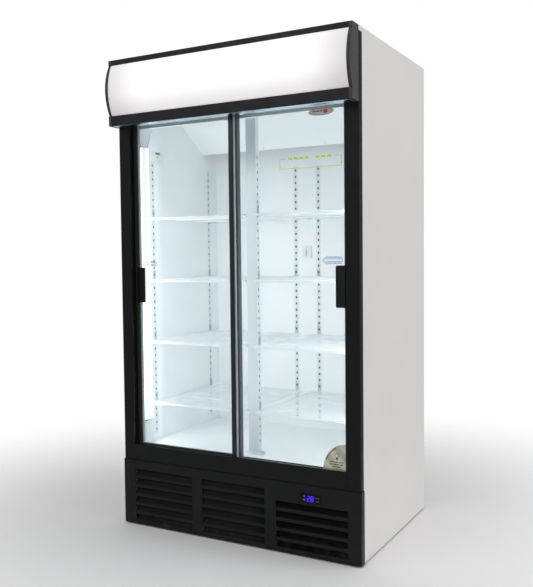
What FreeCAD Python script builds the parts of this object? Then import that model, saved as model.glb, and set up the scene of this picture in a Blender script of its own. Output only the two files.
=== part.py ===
# Upright refrigerated merchandiser with two sliding glass doors and a back-lit canopy.
# Millimetres, +Z up, front faces -Y, +X to the right. The origin is the middle of the
# whole object's footprint, on the floor. "o" in a name below is the offset behind the
# front plane of the door frame, so y = FRONT + o.
import FreeCAD, Part
import math
import os

V = FreeCAD.Vector

# ---------------------------------------------------------------- driving dimensions
HEIGHT = 2000.0
FRONT = -345.0            # front plane of the door frame
BACK = 430.0              # rear skin
CANOPY_FRONT = -430.0     # furthest point of the bulged canopy ends

KICK_HALF = 560.0         # half width over the kick panel, the widest piece
STILE_HALF = 557.0        # half width over the door frame
SIDE_HALF = 556.0         # half width over the flat side panels
SHEET = 1.0               # steel skin
CORNER_R = 8.0           # rounded outer front corners
WRAP = 29.0               # how far the black frame wraps round the side

LINER_HALF = 510.0        # half width of the cold space
LINER_FRONT_O = 73.0      # liner starts just behind the rear door
LINER_BACK_O = 710.0
LINER_FLOOR = 336.0
LINER_CEILING = 1950.0
COLD_BOX_BOTTOM = 292.0   # underside of the floor insulation

KICK_BOTTOM = 6.0
KICK_TOP = 285.0
FRAME_TOP = 1981.0
SILL_BEAM_TOP = 316.0
SILL_LIP_TOP = 355.0
SILL_REAR_TOP = 342.5     # black flange in front of the liner floor
HEAD_LIP_BOTTOM = 1742.0
HEAD_BOTTOM = 1778.0
HEADER_BOTTOM = 1727.0    # white header behind the door tops
OPENING_HALF = 500.0      # half width between the frame's front lips
STILE_BODY_IN = 515.0     # inner side of the stile's body, where the door edges stop
LIP_DEPTH = 8.0
FRAME_DEPTH = 72.0

DOOR_THICK = 22.0
FRONT_TRACK_O = 10.0      # front face of the right door
REAR_TRACK_O = 44.0       # front face of the left door
DOOR_BOTTOM = 331.0
DOOR_TOP = 1765.0
RIGHT_DOOR_INNER = -8.5   # inner edge of the right door, in front
LEFT_DOOR_INNER = 13.0    # inner edge of the left door, behind
DOOR_OUTER = 511.5
DOOR_STILE_W = 18.5
DOOR_RAIL_BOTTOM_H = 19.0
DOOR_RAIL_TOP_H = 20.0
PANE = 4.0
PANE_INSET = 3.0
ROLLER_R = 8.0
ROLLER_W = 6.0
ROLLER_PIN_R = 2.0
ROLLER_BORE_R = 2.05
ROLLER_GAP = 0.3
ROLLER_SPREAD = 190.0     # rollers stand this far each side of the door's middle
RIB_TOP = 329.0
GUIDE_ENGAGE = 10.0       # how far the upper guide's fins reach down past the door tops
HANDLE_IN = 460.0
HANDLE_OUT = 498.0
HANDLE_BOTTOM = 972.0
FRONT_HANDLE_TOP = 1130.0
REAR_HANDLE_TOP = 1124.0
HANDLE_CORNER_R = 6.0
FRONT_HANDLE_PROUD = 12.0
REAR_HANDLE_PROUD = 6.5

CANOPY_HALF = 556.0
CANOPY_CAP = 14.0
CANOPY_BOTTOM = 1725.0
CANOPY_DEPTH = 58.0
CANOPY_RAIL_TOP_H = 22.0
CANOPY_RAIL_BOTTOM_H = 42.0
CANOPY_RAIL_STEP = 5.0
DIFFUSER_T = 2.5
DIFFUSER_BULGE = 24.0

HOLE_PITCH = 30.6
HOLE_TOP_Z = 1580.0
HOLE_COUNT = 40
HOLE_W = 8.0
HOLE_H = 10.0
PILASTER_W = 22.0
PILASTER_DEPTH = 9.0
PILASTER_T = 1.2
PILASTER_FRONT_O = 175.0
PILASTER_REAR_O = 631.0
PILASTER_BACK_X = 60.0

LAMP_BOTTOM = 448.0
LAMP_TOP = 1648.0

POST_X = 4.5              # the post stands behind the middle of the doors' overlap
POST_HALF = 23.0
POST_O = 165.0
POST_DEPTH = 30.0
POST_T = 1.5

SHELF_POST_GAP = 7.0      # between a shelf and the centre post
SHELF_OUT = 502.0         # outer edge, beside the side wall
SHELF_FRONT_O = 130.0
SHELF_REAR_O = 692.0
SHELF_TOPS = [1346.0 - 9 * HOLE_PITCH * level for level in range(4)]
SHELF_WIRE = 3.0
SHELF_ROD = 6.0
SHELF_WIRE_PITCH = 13.1
SHELF_LIP = 12.0

COVER_FRONT_O = 215.0     # evaporator cover: upper front edge
COVER_FRONT_Z = 1909.0
COVER_REAR_O = 590.0      # evaporator cover: lower rear edge
COVER_REAR_Z = 1671.0
COVER_T = 1.2
EVAP_FAN_X = 255.0
EVAP_FAN_ALONG = 112.0    # fan centre, measured down the slope
EVAP_FAN_R = 90.0
EVAP_FAN_HOLE_R = 97.0

LOUVRE_PITCH = 39.5
LOUVRE_H = 30.0
LOUVRE_FIRST_Z = 19.0
LOUVRE_COLUMNS = [(-494.0, 296.0, 6), (-148.0, 296.0, 6), (200.0, 306.0, 5)]   # left edge, width, rows

CONTROL_X = 350.0
CONTROL_Z = 234.0
CONTROL_W = 90.0
CONTROL_BODY_W = 80.8
CONTROL_H = 35.0
KEY_W = 6.4
KEY_H = 5.0
KEY_X = (27.0, 36.0)      # key columns, right of the controller's middle
KEY_Z = (-6.5, 6.5)

COIL_FIN_T = 0.8
COIL_TUBE_R = 4.5
COND_FAN_X = 335.0
COND_FAN_O = 118.0
COND_FAN_Z = 158.0
COND_FAN_R = 98.0

TRAY_BOTTOM = 34.0
TRAY_T = 2.0
RAIL_BOTTOM = 14.0
GLAND_X = -527.0
GLAND_Z = 90.0
GLAND_R = 8.0


# ---------------------------------------------------------------- helpers
def box(x0, x1, y0, y1, z0, z1):
    return Part.makeBox(x1 - x0, y1 - y0, z1 - z0, V(x0, y0, z0))


def obox(x0, x1, o0, o1, z0, z1):
    """A box whose depth is given as offsets behind the front plane."""
    return box(x0, x1, FRONT + o0, FRONT + o1, z0, z1)


def cylinder(x, y, z, radius, length, axis):
    return Part.makeCylinder(radius, length, V(x, y, z), axis)


def join(shapes):
    return shapes[0].multiFuse(shapes[1:]).removeSplitter()


def group(shapes):
    return Part.makeCompound(shapes)


def mirrored(shape):
    return shape.mirror(V(0, 0, 0), V(1, 0, 0))


def moved(shape, dx=0.0, dy=0.0, dz=0.0):
    copy = shape.copy()
    copy.translate(V(dx, dy, dz))
    return copy


def both_sides(shape):
    return [shape, mirrored(shape)]


def extruded(edges, direction):
    return Part.Face(Part.Wire(edges)).extrude(direction)


def polygon(points):
    closed = points + points[:1]
    return [Part.LineSegment(a, b).toShape() for a, b in zip(closed, closed[1:])]


def save(name, shape):
    solids = shape.Solids
    if not shape.isValid() or not solids:
        raise RuntimeError("bad shape in " + name)
    shape.exportStep("parts/" + name + ".step")
    print(name, len(solids), "solid(s)")


# ---------------------------------------------------------------- outer shell
def side_panel():
    """Right side skin: a flat sheet, a raised bead along the frame and a top tongue over it."""
    inner = SIDE_HALF - SHEET
    sheet = obox(inner, SIDE_HALF, WRAP, BACK - FRONT, KICK_BOTTOM, HEIGHT)
    tongue = obox(inner, SIDE_HALF, 0, WRAP, FRAME_TOP, HEIGHT)
    bead = obox(inner, SIDE_HALF + 1.0, WRAP, WRAP + 14, KICK_BOTTOM, HEIGHT)
    long_edges = [e for e in bead.Edges if e.Length > 1000 and e.Vertexes[0].X > SIDE_HALF]
    return join([sheet, tongue, bead.makeFillet(0.9, long_edges)])


def top_panel():
    inner = SIDE_HALF - SHEET
    top = obox(-inner, inner, 0, BACK - FRONT - SHEET, HEIGHT - SHEET, HEIGHT)
    return top.fuse(obox(-inner, inner, 0, SHEET, FRAME_TOP, HEIGHT - SHEET)).removeSplitter()


def back_panel():
    inner = SIDE_HALF - SHEET
    return box(-inner, inner, BACK - SHEET, BACK, 320, HEIGHT)


def rear_grille():
    """Removable lower rear sheet with three columns of air slots."""
    inner = SIDE_HALF - SHEET
    sheet = box(-inner, inner, BACK - SHEET, BACK, KICK_BOTTOM + 6, 319)
    slots = []
    for column in range(3):
        left = -485 + 350 * column
        width = 270
        for row in range(11):
            z = 50 + 22 * row
            slots.append(box(left, left + width, BACK - 2, BACK + 1, z, z + 8))
    gland_hole = cylinder(GLAND_X, BACK - 2, GLAND_Z, GLAND_R + 0.5, 4, V(0, 1, 0))
    return sheet.cut(group(slots)).cut(gland_hole)


def insulation():
    """Foam slabs: two sides, back, top and floor, grooved for the shelf pilasters."""
    outer = SIDE_HALF - SHEET
    inner = LINER_HALF + SHEET
    back = LINER_BACK_O + SHEET
    rear = BACK - FRONT - SHEET
    top = HEIGHT - SHEET
    side = obox(inner, outer, LINER_FRONT_O, rear, COLD_BOX_BOTTOM, top)
    groove_x = LINER_HALF + PILASTER_DEPTH + 0.2
    for o in (PILASTER_FRONT_O, PILASTER_REAR_O):
        side = side.cut(obox(inner, groove_x, o - 11.2, o + 11.2, *pilaster_groove_z()))
    rear_slab = obox(-inner, inner, back, rear, COLD_BOX_BOTTOM, top)
    groove_o = LINER_BACK_O + PILASTER_DEPTH + 0.2
    for x in (-PILASTER_BACK_X, PILASTER_BACK_X):
        rear_slab = rear_slab.cut(obox(x - 11.2, x + 11.2, back, groove_o, *pilaster_groove_z()))
    lid = obox(-inner, inner, LINER_FRONT_O, back, LINER_CEILING + SHEET, top)
    floor = obox(-inner, inner, LINER_FRONT_O, back, COLD_BOX_BOTTOM, LINER_FLOOR - SHEET)
    return group(both_sides(side) + [rear_slab, lid, floor])


def inner_liner():
    """White sheet lining: sides, back, ceiling, floor and the header behind the door tops."""
    outer = LINER_HALF + SHEET
    side = obox(LINER_HALF, outer, LINER_FRONT_O, LINER_BACK_O, LINER_FLOOR, LINER_CEILING)
    for o in (PILASTER_FRONT_O, PILASTER_REAR_O):
        side = side.cut(obox(LINER_HALF - 1, outer + 1, o - 11.2, o + 11.2, *pilaster_groove_z()))
    back = obox(-outer, outer, LINER_BACK_O, LINER_BACK_O + SHEET, LINER_FLOOR, LINER_CEILING)
    for x in (-PILASTER_BACK_X, PILASTER_BACK_X):
        window = obox(x - 11.2, x + 11.2, LINER_BACK_O - 1, LINER_BACK_O + 2, *pilaster_groove_z())
        back = back.cut(window)
    deep = LINER_BACK_O + SHEET
    ceiling = obox(-outer, outer, LINER_FRONT_O, deep, LINER_CEILING, LINER_CEILING + SHEET)
    floor = obox(-outer, outer, LINER_FRONT_O, deep, LINER_FLOOR - SHEET, LINER_FLOOR)
    half = LINER_HALF
    header = obox(-half, half, LINER_FRONT_O, LINER_FRONT_O + 20, HEADER_BOTTOM, LINER_CEILING)
    header = header.cut(obox(-half - 1, half + 1, LINER_FRONT_O + 1, LINER_FRONT_O + 19,
                             HEADER_BOTTOM + 1, LINER_CEILING + 1))
    return group(both_sides(side) + [back, ceiling, floor, header])


def base_frame():
    """Galvanised tray on two side channels and two cross channels."""
    rear = BACK - FRONT - 6
    top = TRAY_BOTTOM
    side = obox(514, 554, 30, rear, RAIL_BOTTOM, top).cut(
        obox(510, 551.5, 29, rear + 1, RAIL_BOTTOM + 2.5, top - 2.5))
    front = obox(-514, 514, 30, 66, RAIL_BOTTOM, top).cut(
        obox(-515, 515, 32.5, 70, RAIL_BOTTOM + 2.5, top - 2.5))
    cross = obox(-514, 514, rear - 40, rear, RAIL_BOTTOM, top).cut(
        obox(-515, 515, rear - 44, rear - 2.5, RAIL_BOTTOM + 2.5, top - 2.5))
    for x, o in foot_places():
        side = side.cut(cylinder(x, FRONT + o, 0, 5.1, 60, V(0, 0, 1)))
    tray = obox(-554, 554, 30, rear, top, top + TRAY_T)
    return group(both_sides(side) + [front, cross, tray])


def foot_places():
    """Right-hand feet, as x and offset behind the front plane."""
    return [(530.0, 80.0), (530.0, 700.0)]


def levelling_feet():
    """Four feet: a round pad with a hexagon collar, and its threaded stud up through the base."""
    feet = []
    for x, o in foot_places():
        y = FRONT + o
        pad = Part.makeCone(20, 15, 8, V(x, y, 0), V(0, 0, 1))
        corners = [V(x + 9 * math.cos(a), y + 9 * math.sin(a), 8)
                   for a in (math.radians(60 * k) for k in range(6))]
        collar = extruded(polygon(corners), V(0, 0, RAIL_BOTTOM - 8.5))
        stud = cylinder(x, y, RAIL_BOTTOM - 0.5, 5.0, 19, V(0, 0, 1))
        feet += both_sides(join([pad, collar, stud]))
    return group(feet)


# ---------------------------------------------------------------- door frame of the cabinet
def frame_stile():
    """Right upright: a hollow extrusion, rounded outside, with a lip that hides the door edge."""
    r = CORNER_R
    outer = STILE_HALF
    behind_skin = SIDE_HALF - SHEET
    section = [
        (OPENING_HALF, 0), (outer - r, 0), (outer, r), (outer, WRAP), (behind_skin, WRAP),
        (behind_skin, FRAME_DEPTH), (STILE_BODY_IN, FRAME_DEPTH), (STILE_BODY_IN, LIP_DEPTH),
        (OPENING_HALF, LIP_DEPTH)]
    points = [V(x, FRONT + o, KICK_TOP) for x, o in section]
    edges = []
    for index, (a, b) in enumerate(zip(points, points[1:] + points[:1])):
        if index == 1:
            bow = r * (1 - math.cos(math.radians(45)))
            middle = V(outer - bow, FRONT + bow, KICK_TOP)
            edges.append(Part.Arc(a, middle, b).toShape())
        else:
            edges.append(Part.LineSegment(a, b).toShape())
    profile = extruded(edges, V(0, 0, FRAME_TOP - KICK_TOP))
    hollow = obox(STILE_BODY_IN + 3, 547, 6, FRAME_DEPTH - 4, KICK_TOP - 1, FRAME_TOP + 1)
    return profile.cut(hollow)


def frame_head():
    """Cross member over the doors, behind the canopy: a front lip under a hollow beam."""
    half = OPENING_HALF
    lip = obox(-half, half, 0, 6, HEAD_LIP_BOTTOM, HEAD_BOTTOM)
    beam = obox(-half, half, 0, FRAME_DEPTH, HEAD_BOTTOM, FRAME_TOP)
    hollow = obox(-half - 1, half + 1, 4, FRAME_DEPTH - 4, HEAD_BOTTOM + 4, FRAME_TOP - 4)
    return join([lip, beam]).cut(hollow)


def frame_sill():
    """Cross member under the doors: a front lip and a rear flange over a hollow beam."""
    half = OPENING_HALF
    lip = obox(-half, half, 0, LIP_DEPTH, SILL_BEAM_TOP, SILL_LIP_TOP)
    top_edges = [e for e in lip.Edges if e.Length > 900 and e.Vertexes[0].Z > SILL_LIP_TOP - 1]
    lip = lip.makeFillet(2.0, top_edges)
    beam = obox(-half, half, 0, FRAME_DEPTH, KICK_TOP, SILL_BEAM_TOP)
    flange = obox(-half, half, FRAME_DEPTH - 2, FRAME_DEPTH, SILL_BEAM_TOP, SILL_REAR_TOP)
    hollow = obox(-half - 1, half + 1, 4, FRAME_DEPTH - 4, KICK_TOP + 4, SILL_BEAM_TOP - 4)
    return join([lip, beam, flange]).cut(hollow)


def door_tracks():
    """Lower track with a rib under each door, and upper guide with three fins between them."""
    half = OPENING_HALF - 1
    front_line = FRONT_TRACK_O + DOOR_THICK / 2
    rear_line = REAR_TRACK_O + DOOR_THICK / 2
    base = SILL_BEAM_TOP + 3
    lower = [obox(-half, half, LIP_DEPTH, FRAME_DEPTH - 2, SILL_BEAM_TOP, base)]
    for line in (front_line, rear_line):
        lower.append(obox(-half, half, line - 1.5, line + 1.5, base, RIB_TOP))
    guide = [obox(-half, half, LIP_DEPTH, 70, 1774, HEAD_BOTTOM)]
    for o0, o1 in ((LIP_DEPTH, 9.2), (36.8, 39.2), (67.5, 70)):
        guide.append(obox(-half, half, o0, o1, DOOR_TOP - GUIDE_ENGAGE, 1774))
    return group([join(lower), join(guide)])


# ---------------------------------------------------------------- sliding doors
def door_frame(x0, x1, o0):
    """Aluminium door frame: two stiles, a top rail, and a bottom rail with its roller pins."""
    o1 = o0 + DOOR_THICK
    w = DOOR_STILE_W
    line = o0 + DOOR_THICK / 2
    left = obox(x0, x0 + w, o0, o1, DOOR_BOTTOM, DOOR_TOP)
    right = obox(x1 - w, x1, o0, o1, DOOR_BOTTOM, DOOR_TOP)
    top = obox(x0 + w, x1 - w, o0, o1, DOOR_TOP - DOOR_RAIL_TOP_H, DOOR_TOP)
    bottom = obox(x0 + w, x1 - w, o0, o1, DOOR_BOTTOM, DOOR_BOTTOM + DOOR_RAIL_BOTTOM_H)
    pins = []
    for x in roller_places(x0, x1):
        pocket = obox(x - 10, x + 10, line - 4, line + 4, DOOR_BOTTOM - 1, roller_z() + ROLLER_R + 1)
        bottom = bottom.cut(pocket)
        pins.append(cylinder(x, FRONT + line - 4, roller_z(), ROLLER_PIN_R, 8, V(0, 1, 0)))
    return group([left, right, top, join([bottom] + pins)])


def roller_z():
    return RIB_TOP + ROLLER_GAP + ROLLER_R


def roller_places(x0, x1):
    middle = (x0 + x1) / 2
    return [middle - ROLLER_SPREAD, middle + ROLLER_SPREAD]


def door_roller(x, o0):
    line = o0 + DOOR_THICK / 2
    start = FRONT + line - ROLLER_W / 2
    wheel = cylinder(x, start, roller_z(), ROLLER_R, ROLLER_W, V(0, 1, 0))
    bore = cylinder(x, start - 1, roller_z(), ROLLER_BORE_R, ROLLER_W + 2, V(0, 1, 0))
    return wheel.cut(bore)


def door_glass(x0, x1, o0):
    """Double glazing: an outer and an inner pane inside the door frame."""
    z0 = DOOR_BOTTOM + DOOR_RAIL_BOTTOM_H
    z1 = DOOR_TOP - DOOR_RAIL_TOP_H
    panes = []
    for start in (PANE_INSET, DOOR_THICK - PANE_INSET - PANE):
        panes.append(obox(x0 + DOOR_STILE_W, x1 - DOOR_STILE_W, o0 + start, o0 + start + PANE, z0, z1))
    return group(panes)


def door_handle(x0, x1, o0, proud, top):
    """Block handle, its free side rounded at both ends and its front edges softened."""
    block = obox(x0, x1, o0 - proud, o0, HANDLE_BOTTOM, top)
    corners = [e for e in block.Edges
               if abs(e.Length - proud) < 0.01 and abs(abs(e.Vertexes[0].X) - HANDLE_IN) < 0.01]
    block = block.makeFillet(HANDLE_CORNER_R, corners)
    front_edges = [e for e in block.Edges
                   if max(v.Y for v in e.Vertexes) < FRONT + o0 - proud + 0.1]
    return block.makeFillet(2.5, front_edges)


def center_seal():
    """Brush strip on the back of the front door's inner stile, closing the gap between doors."""
    x = RIGHT_DOOR_INNER
    o = FRONT_TRACK_O + DOOR_THICK
    return obox(x + 3, x + 11, o, REAR_TRACK_O - 1, DOOR_BOTTOM + 4, DOOR_TOP - GUIDE_ENGAGE - 2)


# ---------------------------------------------------------------- interior fittings
def hole_heights():
    return [HOLE_TOP_Z - HOLE_PITCH * row for row in range(HOLE_COUNT)]


def pilaster_z():
    return hole_heights()[-1] - 20, HOLE_TOP_Z + 20


def pilaster_groove_z():
    z0, z1 = pilaster_z()
    return z0 - 0.2, z1 + 0.2


def pilaster():
    """Slotted channel facing -Y with its face on y = 0, centred on x = 0."""
    z0, z1 = pilaster_z()
    half = PILASTER_W / 2
    bar = box(-half, half, 0, PILASTER_DEPTH, z0, z1)
    bar = bar.cut(box(-half + PILASTER_T, half - PILASTER_T, PILASTER_T, PILASTER_DEPTH + 1, z0 - 1, z1 + 1))
    slots = [box(-HOLE_W / 2, HOLE_W / 2, -1, PILASTER_T + 1, z - HOLE_H / 2, z + HOLE_H / 2)
             for z in hole_heights()]
    return bar.cut(group(slots))


def pilasters():
    """Six slotted channels let into the liner: two in each side wall and two in the back."""
    strip = pilaster()
    strips = []
    for x in (-PILASTER_BACK_X, PILASTER_BACK_X):
        strips.append(moved(strip, x, FRONT + LINER_BACK_O))
    for o in (PILASTER_FRONT_O, PILASTER_REAR_O):
        turned = strip.copy()
        turned.rotate(V(0, 0, 0), V(0, 0, 1), -90)
        strips += both_sides(moved(turned, LINER_HALF, FRONT + o))
    return group(strips)


def center_post():
    """Slotted hollow post between the shelf columns, with a foot plate and a top plate."""
    z0 = LINER_FLOOR + 2
    z1 = LINER_CEILING - 2
    h = POST_HALF
    tube = obox(-h, h, POST_O, POST_O + POST_DEPTH, z0, z1)
    tube = tube.cut(obox(-h + POST_T, h - POST_T, POST_O + POST_T, POST_O + POST_DEPTH - POST_T,
                         z0 - 1, z1 + 1))
    middle = POST_O + POST_DEPTH / 2 + 2
    slots = [obox(-h - 1, h + 1, middle - HOLE_W / 2, middle + HOLE_W / 2, z - HOLE_H / 2, z + HOLE_H / 2)
             for z in hole_heights()]
    tube = tube.cut(group(slots))
    foot = obox(-h - 14, h + 14, POST_O - 6, POST_O + POST_DEPTH + 6, LINER_FLOOR, z0)
    cap = obox(-h - 14, h + 14, POST_O - 6, POST_O + POST_DEPTH + 6, z1, LINER_CEILING)
    return moved(group([tube, foot, cap]), POST_X, 0, 0)


def wire_shelf(inner):
    """Right-hand wire shelf with its top at z = 0: close wires on a rod frame, lipped in front."""
    rod = SHELF_ROD
    wire = SHELF_WIRE
    under = -wire - rod + 0.6
    y0 = FRONT + SHELF_FRONT_O
    y1 = FRONT + SHELF_REAR_O
    rods = [box(inner, SHELF_OUT, y, y + rod, under, under + rod)
            for y in (y0 + wire, y0 + 185, y0 + 375, y1 - rod)]
    rods += [box(x, x + rod, y0 + wire, y1, under, under + rod) for x in (inner, SHELF_OUT - rod)]
    rods.append(box(inner, SHELF_OUT, y0 + wire - 0.6, y0 + wire + 4.4, -SHELF_LIP, -SHELF_LIP + 4.4))
    count = round((SHELF_OUT - inner - wire) / SHELF_WIRE_PITCH)
    step = (SHELF_OUT - inner - wire) / count
    wires = []
    for index in range(count + 1):
        x = inner + step * index
        wires.append(box(x, x + wire, y0, y1, -wire, 0))
        wires.append(box(x, x + wire, y0, y0 + wire, -SHELF_LIP, -wire / 2))
    return join(rods + wires)


def clip(width=14.0, plate=3.0, reach=18.0, tall=45.0):
    """Shelf clip hooked on a wall whose face is y = 0, reaching towards -Y, ledge top at z = 0."""
    half = width / 2
    ledge = box(-half, half, -reach, 0, -3, 0)
    upright = box(-half, half, -plate, 0, 0, tall)
    return join([ledge, upright])


def shelf_clips():
    """Four clips under each shelf: post, back wall, and two on the side wall."""
    rod_under = -SHELF_WIRE - SHELF_ROD + 0.6
    wall = clip()
    side = clip(reach=20.0)
    side.rotate(V(0, 0, 0), V(0, 0, 1), -90)
    post = clip(reach=14.0)
    post.rotate(V(0, 0, 0), V(0, 0, 1), 90)
    clips = []
    for top in SHELF_TOPS:
        z = top + rod_under
        clips += both_sides(moved(wall, PILASTER_BACK_X, FRONT + LINER_BACK_O, z))
        for o in (PILASTER_FRONT_O, PILASTER_REAR_O):
            clips += both_sides(moved(side, LINER_HALF, FRONT + o, z))
        for hook in both_sides(moved(post, POST_HALF, FRONT + POST_O + POST_DEPTH / 2 + 2, z)):
            clips.append(moved(hook, POST_X, 0, 0))
    return group(clips)


def sensor_guard():
    """Vented cover over the temperature probe on the back wall, with its two screws."""
    z = 1186.0
    back = LINER_BACK_O
    cover = obox(-23.5, 23.5, back - 7, back, z - 30.5, z + 30.5)
    cover = cover.cut(obox(-21.5, 21.5, back - 5, back + 1, z - 28.5, z + 28.5))
    cover = cover.cut(obox(-4, 4, back - 9, back - 3, z - 17, z + 17))
    screws = [cylinder(0, FRONT + back - 9, z + dz, 3, 2, V(0, 1, 0)) for dz in (-24, 24)]
    return group([cover] + screws)


# ---------------------------------------------------------------- evaporator
def slope_angle():
    return math.degrees(math.atan2(COVER_FRONT_Z - COVER_REAR_Z, COVER_REAR_O - COVER_FRONT_O))


def on_slope(shape):
    """Place a shape made with y down the slope and z up off it, from the cover's front edge."""
    copy = shape.copy()
    copy.rotate(V(0, 0, 0), V(1, 0, 0), -slope_angle())
    copy.translate(V(0, FRONT + COVER_FRONT_O, COVER_FRONT_Z))
    return copy


def evaporator_cover():
    """Sloping white ceiling panel with two fan openings and a front flange to the ceiling."""
    length = math.hypot(COVER_REAR_O - COVER_FRONT_O, COVER_FRONT_Z - COVER_REAR_Z)
    half = LINER_HALF - 0.5
    plate = box(-half, half, 0, length, 0, COVER_T)
    for x in (-EVAP_FAN_X, EVAP_FAN_X):
        plate = plate.cut(cylinder(x, EVAP_FAN_ALONG, -1, EVAP_FAN_HOLE_R, 4, V(0, 0, 1)))
    flange_o = COVER_FRONT_O - COVER_T / 2
    flange = obox(-half, half, flange_o, flange_o + COVER_T, COVER_FRONT_Z, LINER_CEILING)
    hem = box(-half, half, length - COVER_T, length, COVER_T, 14)
    return join([on_slope(plate), flange, on_slope(hem)])


def fan_rotor(radius, depth, hub_r, blades, sweep):
    """Axial rotor about z from z = 0: a hub with flat tilted blades that stay inside the depth."""
    hub = Part.makeCylinder(hub_r, depth)
    pieces = [hub]
    for index in range(blades):
        blade = box(hub_r - 3, radius, -sweep, sweep, -0.9, 0.9)
        blade.rotate(V(0, 0, 0), V(1, 0, 0), 28)
        blade.translate(V(0, 0, depth / 2))
        blade.rotate(V(0, 0, 0), V(0, 0, 1), 360.0 * index / blades)
        pieces.append(blade)
    limit = Part.makeCylinder(radius, depth)
    return join(pieces).common(limit)


def evaporator_fan(x):
    rotor = fan_rotor(EVAP_FAN_R, 24, 26, 5, 24)
    return on_slope(moved(rotor, x, EVAP_FAN_ALONG, 5))


def fan_motors():
    """The two evaporator fan motors on their bridge bars and the condenser fan motor."""
    motors = []
    for x in (-EVAP_FAN_X, EVAP_FAN_X):
        can = cylinder(x, EVAP_FAN_ALONG, 30, 24, 24, V(0, 0, 1))
        bar = box(x - 108, x + 108, EVAP_FAN_ALONG - 8, EVAP_FAN_ALONG + 8, 54, 56)
        legs = [box(x + side * 107 - 1, x + side * 107 + 1, EVAP_FAN_ALONG - 8, EVAP_FAN_ALONG + 8,
                    COVER_T, 54.5) for side in (-1, 1)]
        motors.append(on_slope(join([can, bar] + legs)))
    y = FRONT + COND_FAN_O + 32
    can = cylinder(COND_FAN_X, y, COND_FAN_Z, 30, 50, V(0, 1, 0))
    stand = box(COND_FAN_X - 14, COND_FAN_X + 14, y + 10, y + 40, TRAY_BOTTOM + TRAY_T, COND_FAN_Z)
    motors.append(join([can, stand]))
    return group(motors)


def finned_coil(half, o0, o1, z0, z1, pitch, rows):
    """Upright fins across x on straight tubes with return bends at the ends, as one solid."""
    count = round(2 * half / pitch)
    fins = [obox(-half + pitch * i, -half + pitch * i + COIL_FIN_T, o0, o1, z0, z1) for i in range(count + 1)]
    spacing = (z1 - z0) / rows
    middle = FRONT + (o0 + o1) / 2
    tubes = []
    for row in range(rows):
        z = z0 + spacing * (row + 0.5)
        tubes.append(cylinder(-half - 6, middle, z, COIL_TUBE_R, 2 * half + 12, V(1, 0, 0)))
    return join(fins + tubes)


def evaporator_coil():
    """Finned coil over the drain pan."""
    return finned_coil(420.0, 458, 582, 1797, 1925, 12.0, 5)


def drain_pan():
    pan = obox(-445, 445, 448, 590, 1772, 1792)
    return pan.cut(obox(-443.5, 443.5, 449.5, 588.5, 1773.5, 1793))


# ---------------------------------------------------------------- lights
def lamp_lenses():
    """Upright LED lamps in the front corners, left and right, each a prism with a slanted lens."""
    x = LINER_HALF
    section = [(x, 78), (x - 22, 78), (x - 25, 84), (x - 25, 98),
               (x - 7.5, SHELF_FRONT_O - 0.5), (x - 7.5, 137), (x, 137)]
    outline = polygon([V(px, FRONT + o, LAMP_BOTTOM) for px, o in section])
    lens = extruded(outline, V(0, 0, LAMP_TOP - LAMP_BOTTOM))
    return group(both_sides(lens))


def lamp_leads():
    """One lead per lamp: from the lamp's top, up the wall in a slack bow and into the ceiling."""
    points = [V(502, FRONT + 128, LAMP_TOP), V(502, FRONT + 136, 1672), V(503, FRONT + 154, 1704),
              V(503, FRONT + 165, 1744), V(503, FRONT + 166, 1800), V(503, FRONT + 158, 1880),
              V(503, FRONT + 158, LINER_CEILING)]
    lead = tube_along(points, 1.6)
    return group(both_sides(lead))


def tube_along(points, radius):
    """Round tube along straight runs joined by tangent arcs as large as the runs allow."""
    edges = []
    start = points[0]
    for before, corner, after in zip(points, points[1:], points[2:]):
        into = corner.sub(before)
        out = after.sub(corner)
        trim = 0.45 * min(into.Length, out.Length)
        into.normalize()
        out.normalize()
        turn = into.getAngle(out)
        arc_start = corner.sub(V(into).multiply(trim))
        arc_end = corner.add(V(out).multiply(trim))
        arc_r = trim / math.tan(turn / 2)
        inward = V(out).sub(into)
        inward.normalize()
        middle = corner.add(inward.multiply(arc_r * (1 / math.cos(turn / 2) - 1)))
        edges.append(Part.LineSegment(start, arc_start).toShape())
        edges.append(Part.Arc(arc_start, middle, arc_end).toShape())
        start = arc_end
    edges.append(Part.LineSegment(start, points[-1]).toShape())
    path = Part.Wire(edges)
    direction = points[1].sub(points[0])
    ring = Part.Wire([Part.Circle(points[0], direction, radius).toShape()])
    return path.makePipeShell([ring], True, False)


# ---------------------------------------------------------------- canopy
def canopy_side_edges(x, grow, bottom, top, depth, bulge):
    """Closed outline of the canopy's side view at x: flat back, bulged front."""
    front = FRONT - depth - grow
    back = FRONT
    low = Part.LineSegment(V(x, back, bottom), V(x, front, bottom)).toShape()
    bow = V(x, FRONT - depth - bulge, (bottom + top) / 2)
    face = Part.Arc(V(x, front, bottom), bow, V(x, front, top)).toShape()
    high = Part.LineSegment(V(x, front, top), V(x, back, top)).toShape()
    rear = Part.LineSegment(V(x, back, top), V(x, back, bottom)).toShape()
    return [low, face, high, rear]


def canopy_end_caps():
    """Moulded end cheeks: a bulged front between a square bottom block and a square top block."""
    x = CANOPY_HALF - CANOPY_CAP
    low = CANOPY_BOTTOM + CANOPY_RAIL_BOTTOM_H
    high = HEIGHT - CANOPY_RAIL_TOP_H
    bulge = FRONT - CANOPY_FRONT - CANOPY_DEPTH
    middle = extruded(canopy_side_edges(x, 0, low, high, CANOPY_DEPTH, bulge), V(CANOPY_CAP, 0, 0))
    foot = obox(x, CANOPY_HALF, -CANOPY_DEPTH - CANOPY_RAIL_STEP, 0, CANOPY_BOTTOM, low)
    head = obox(x, CANOPY_HALF, -CANOPY_DEPTH - 2, 0, high, HEIGHT)
    return group(both_sides(join([middle, foot, head])))


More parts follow.
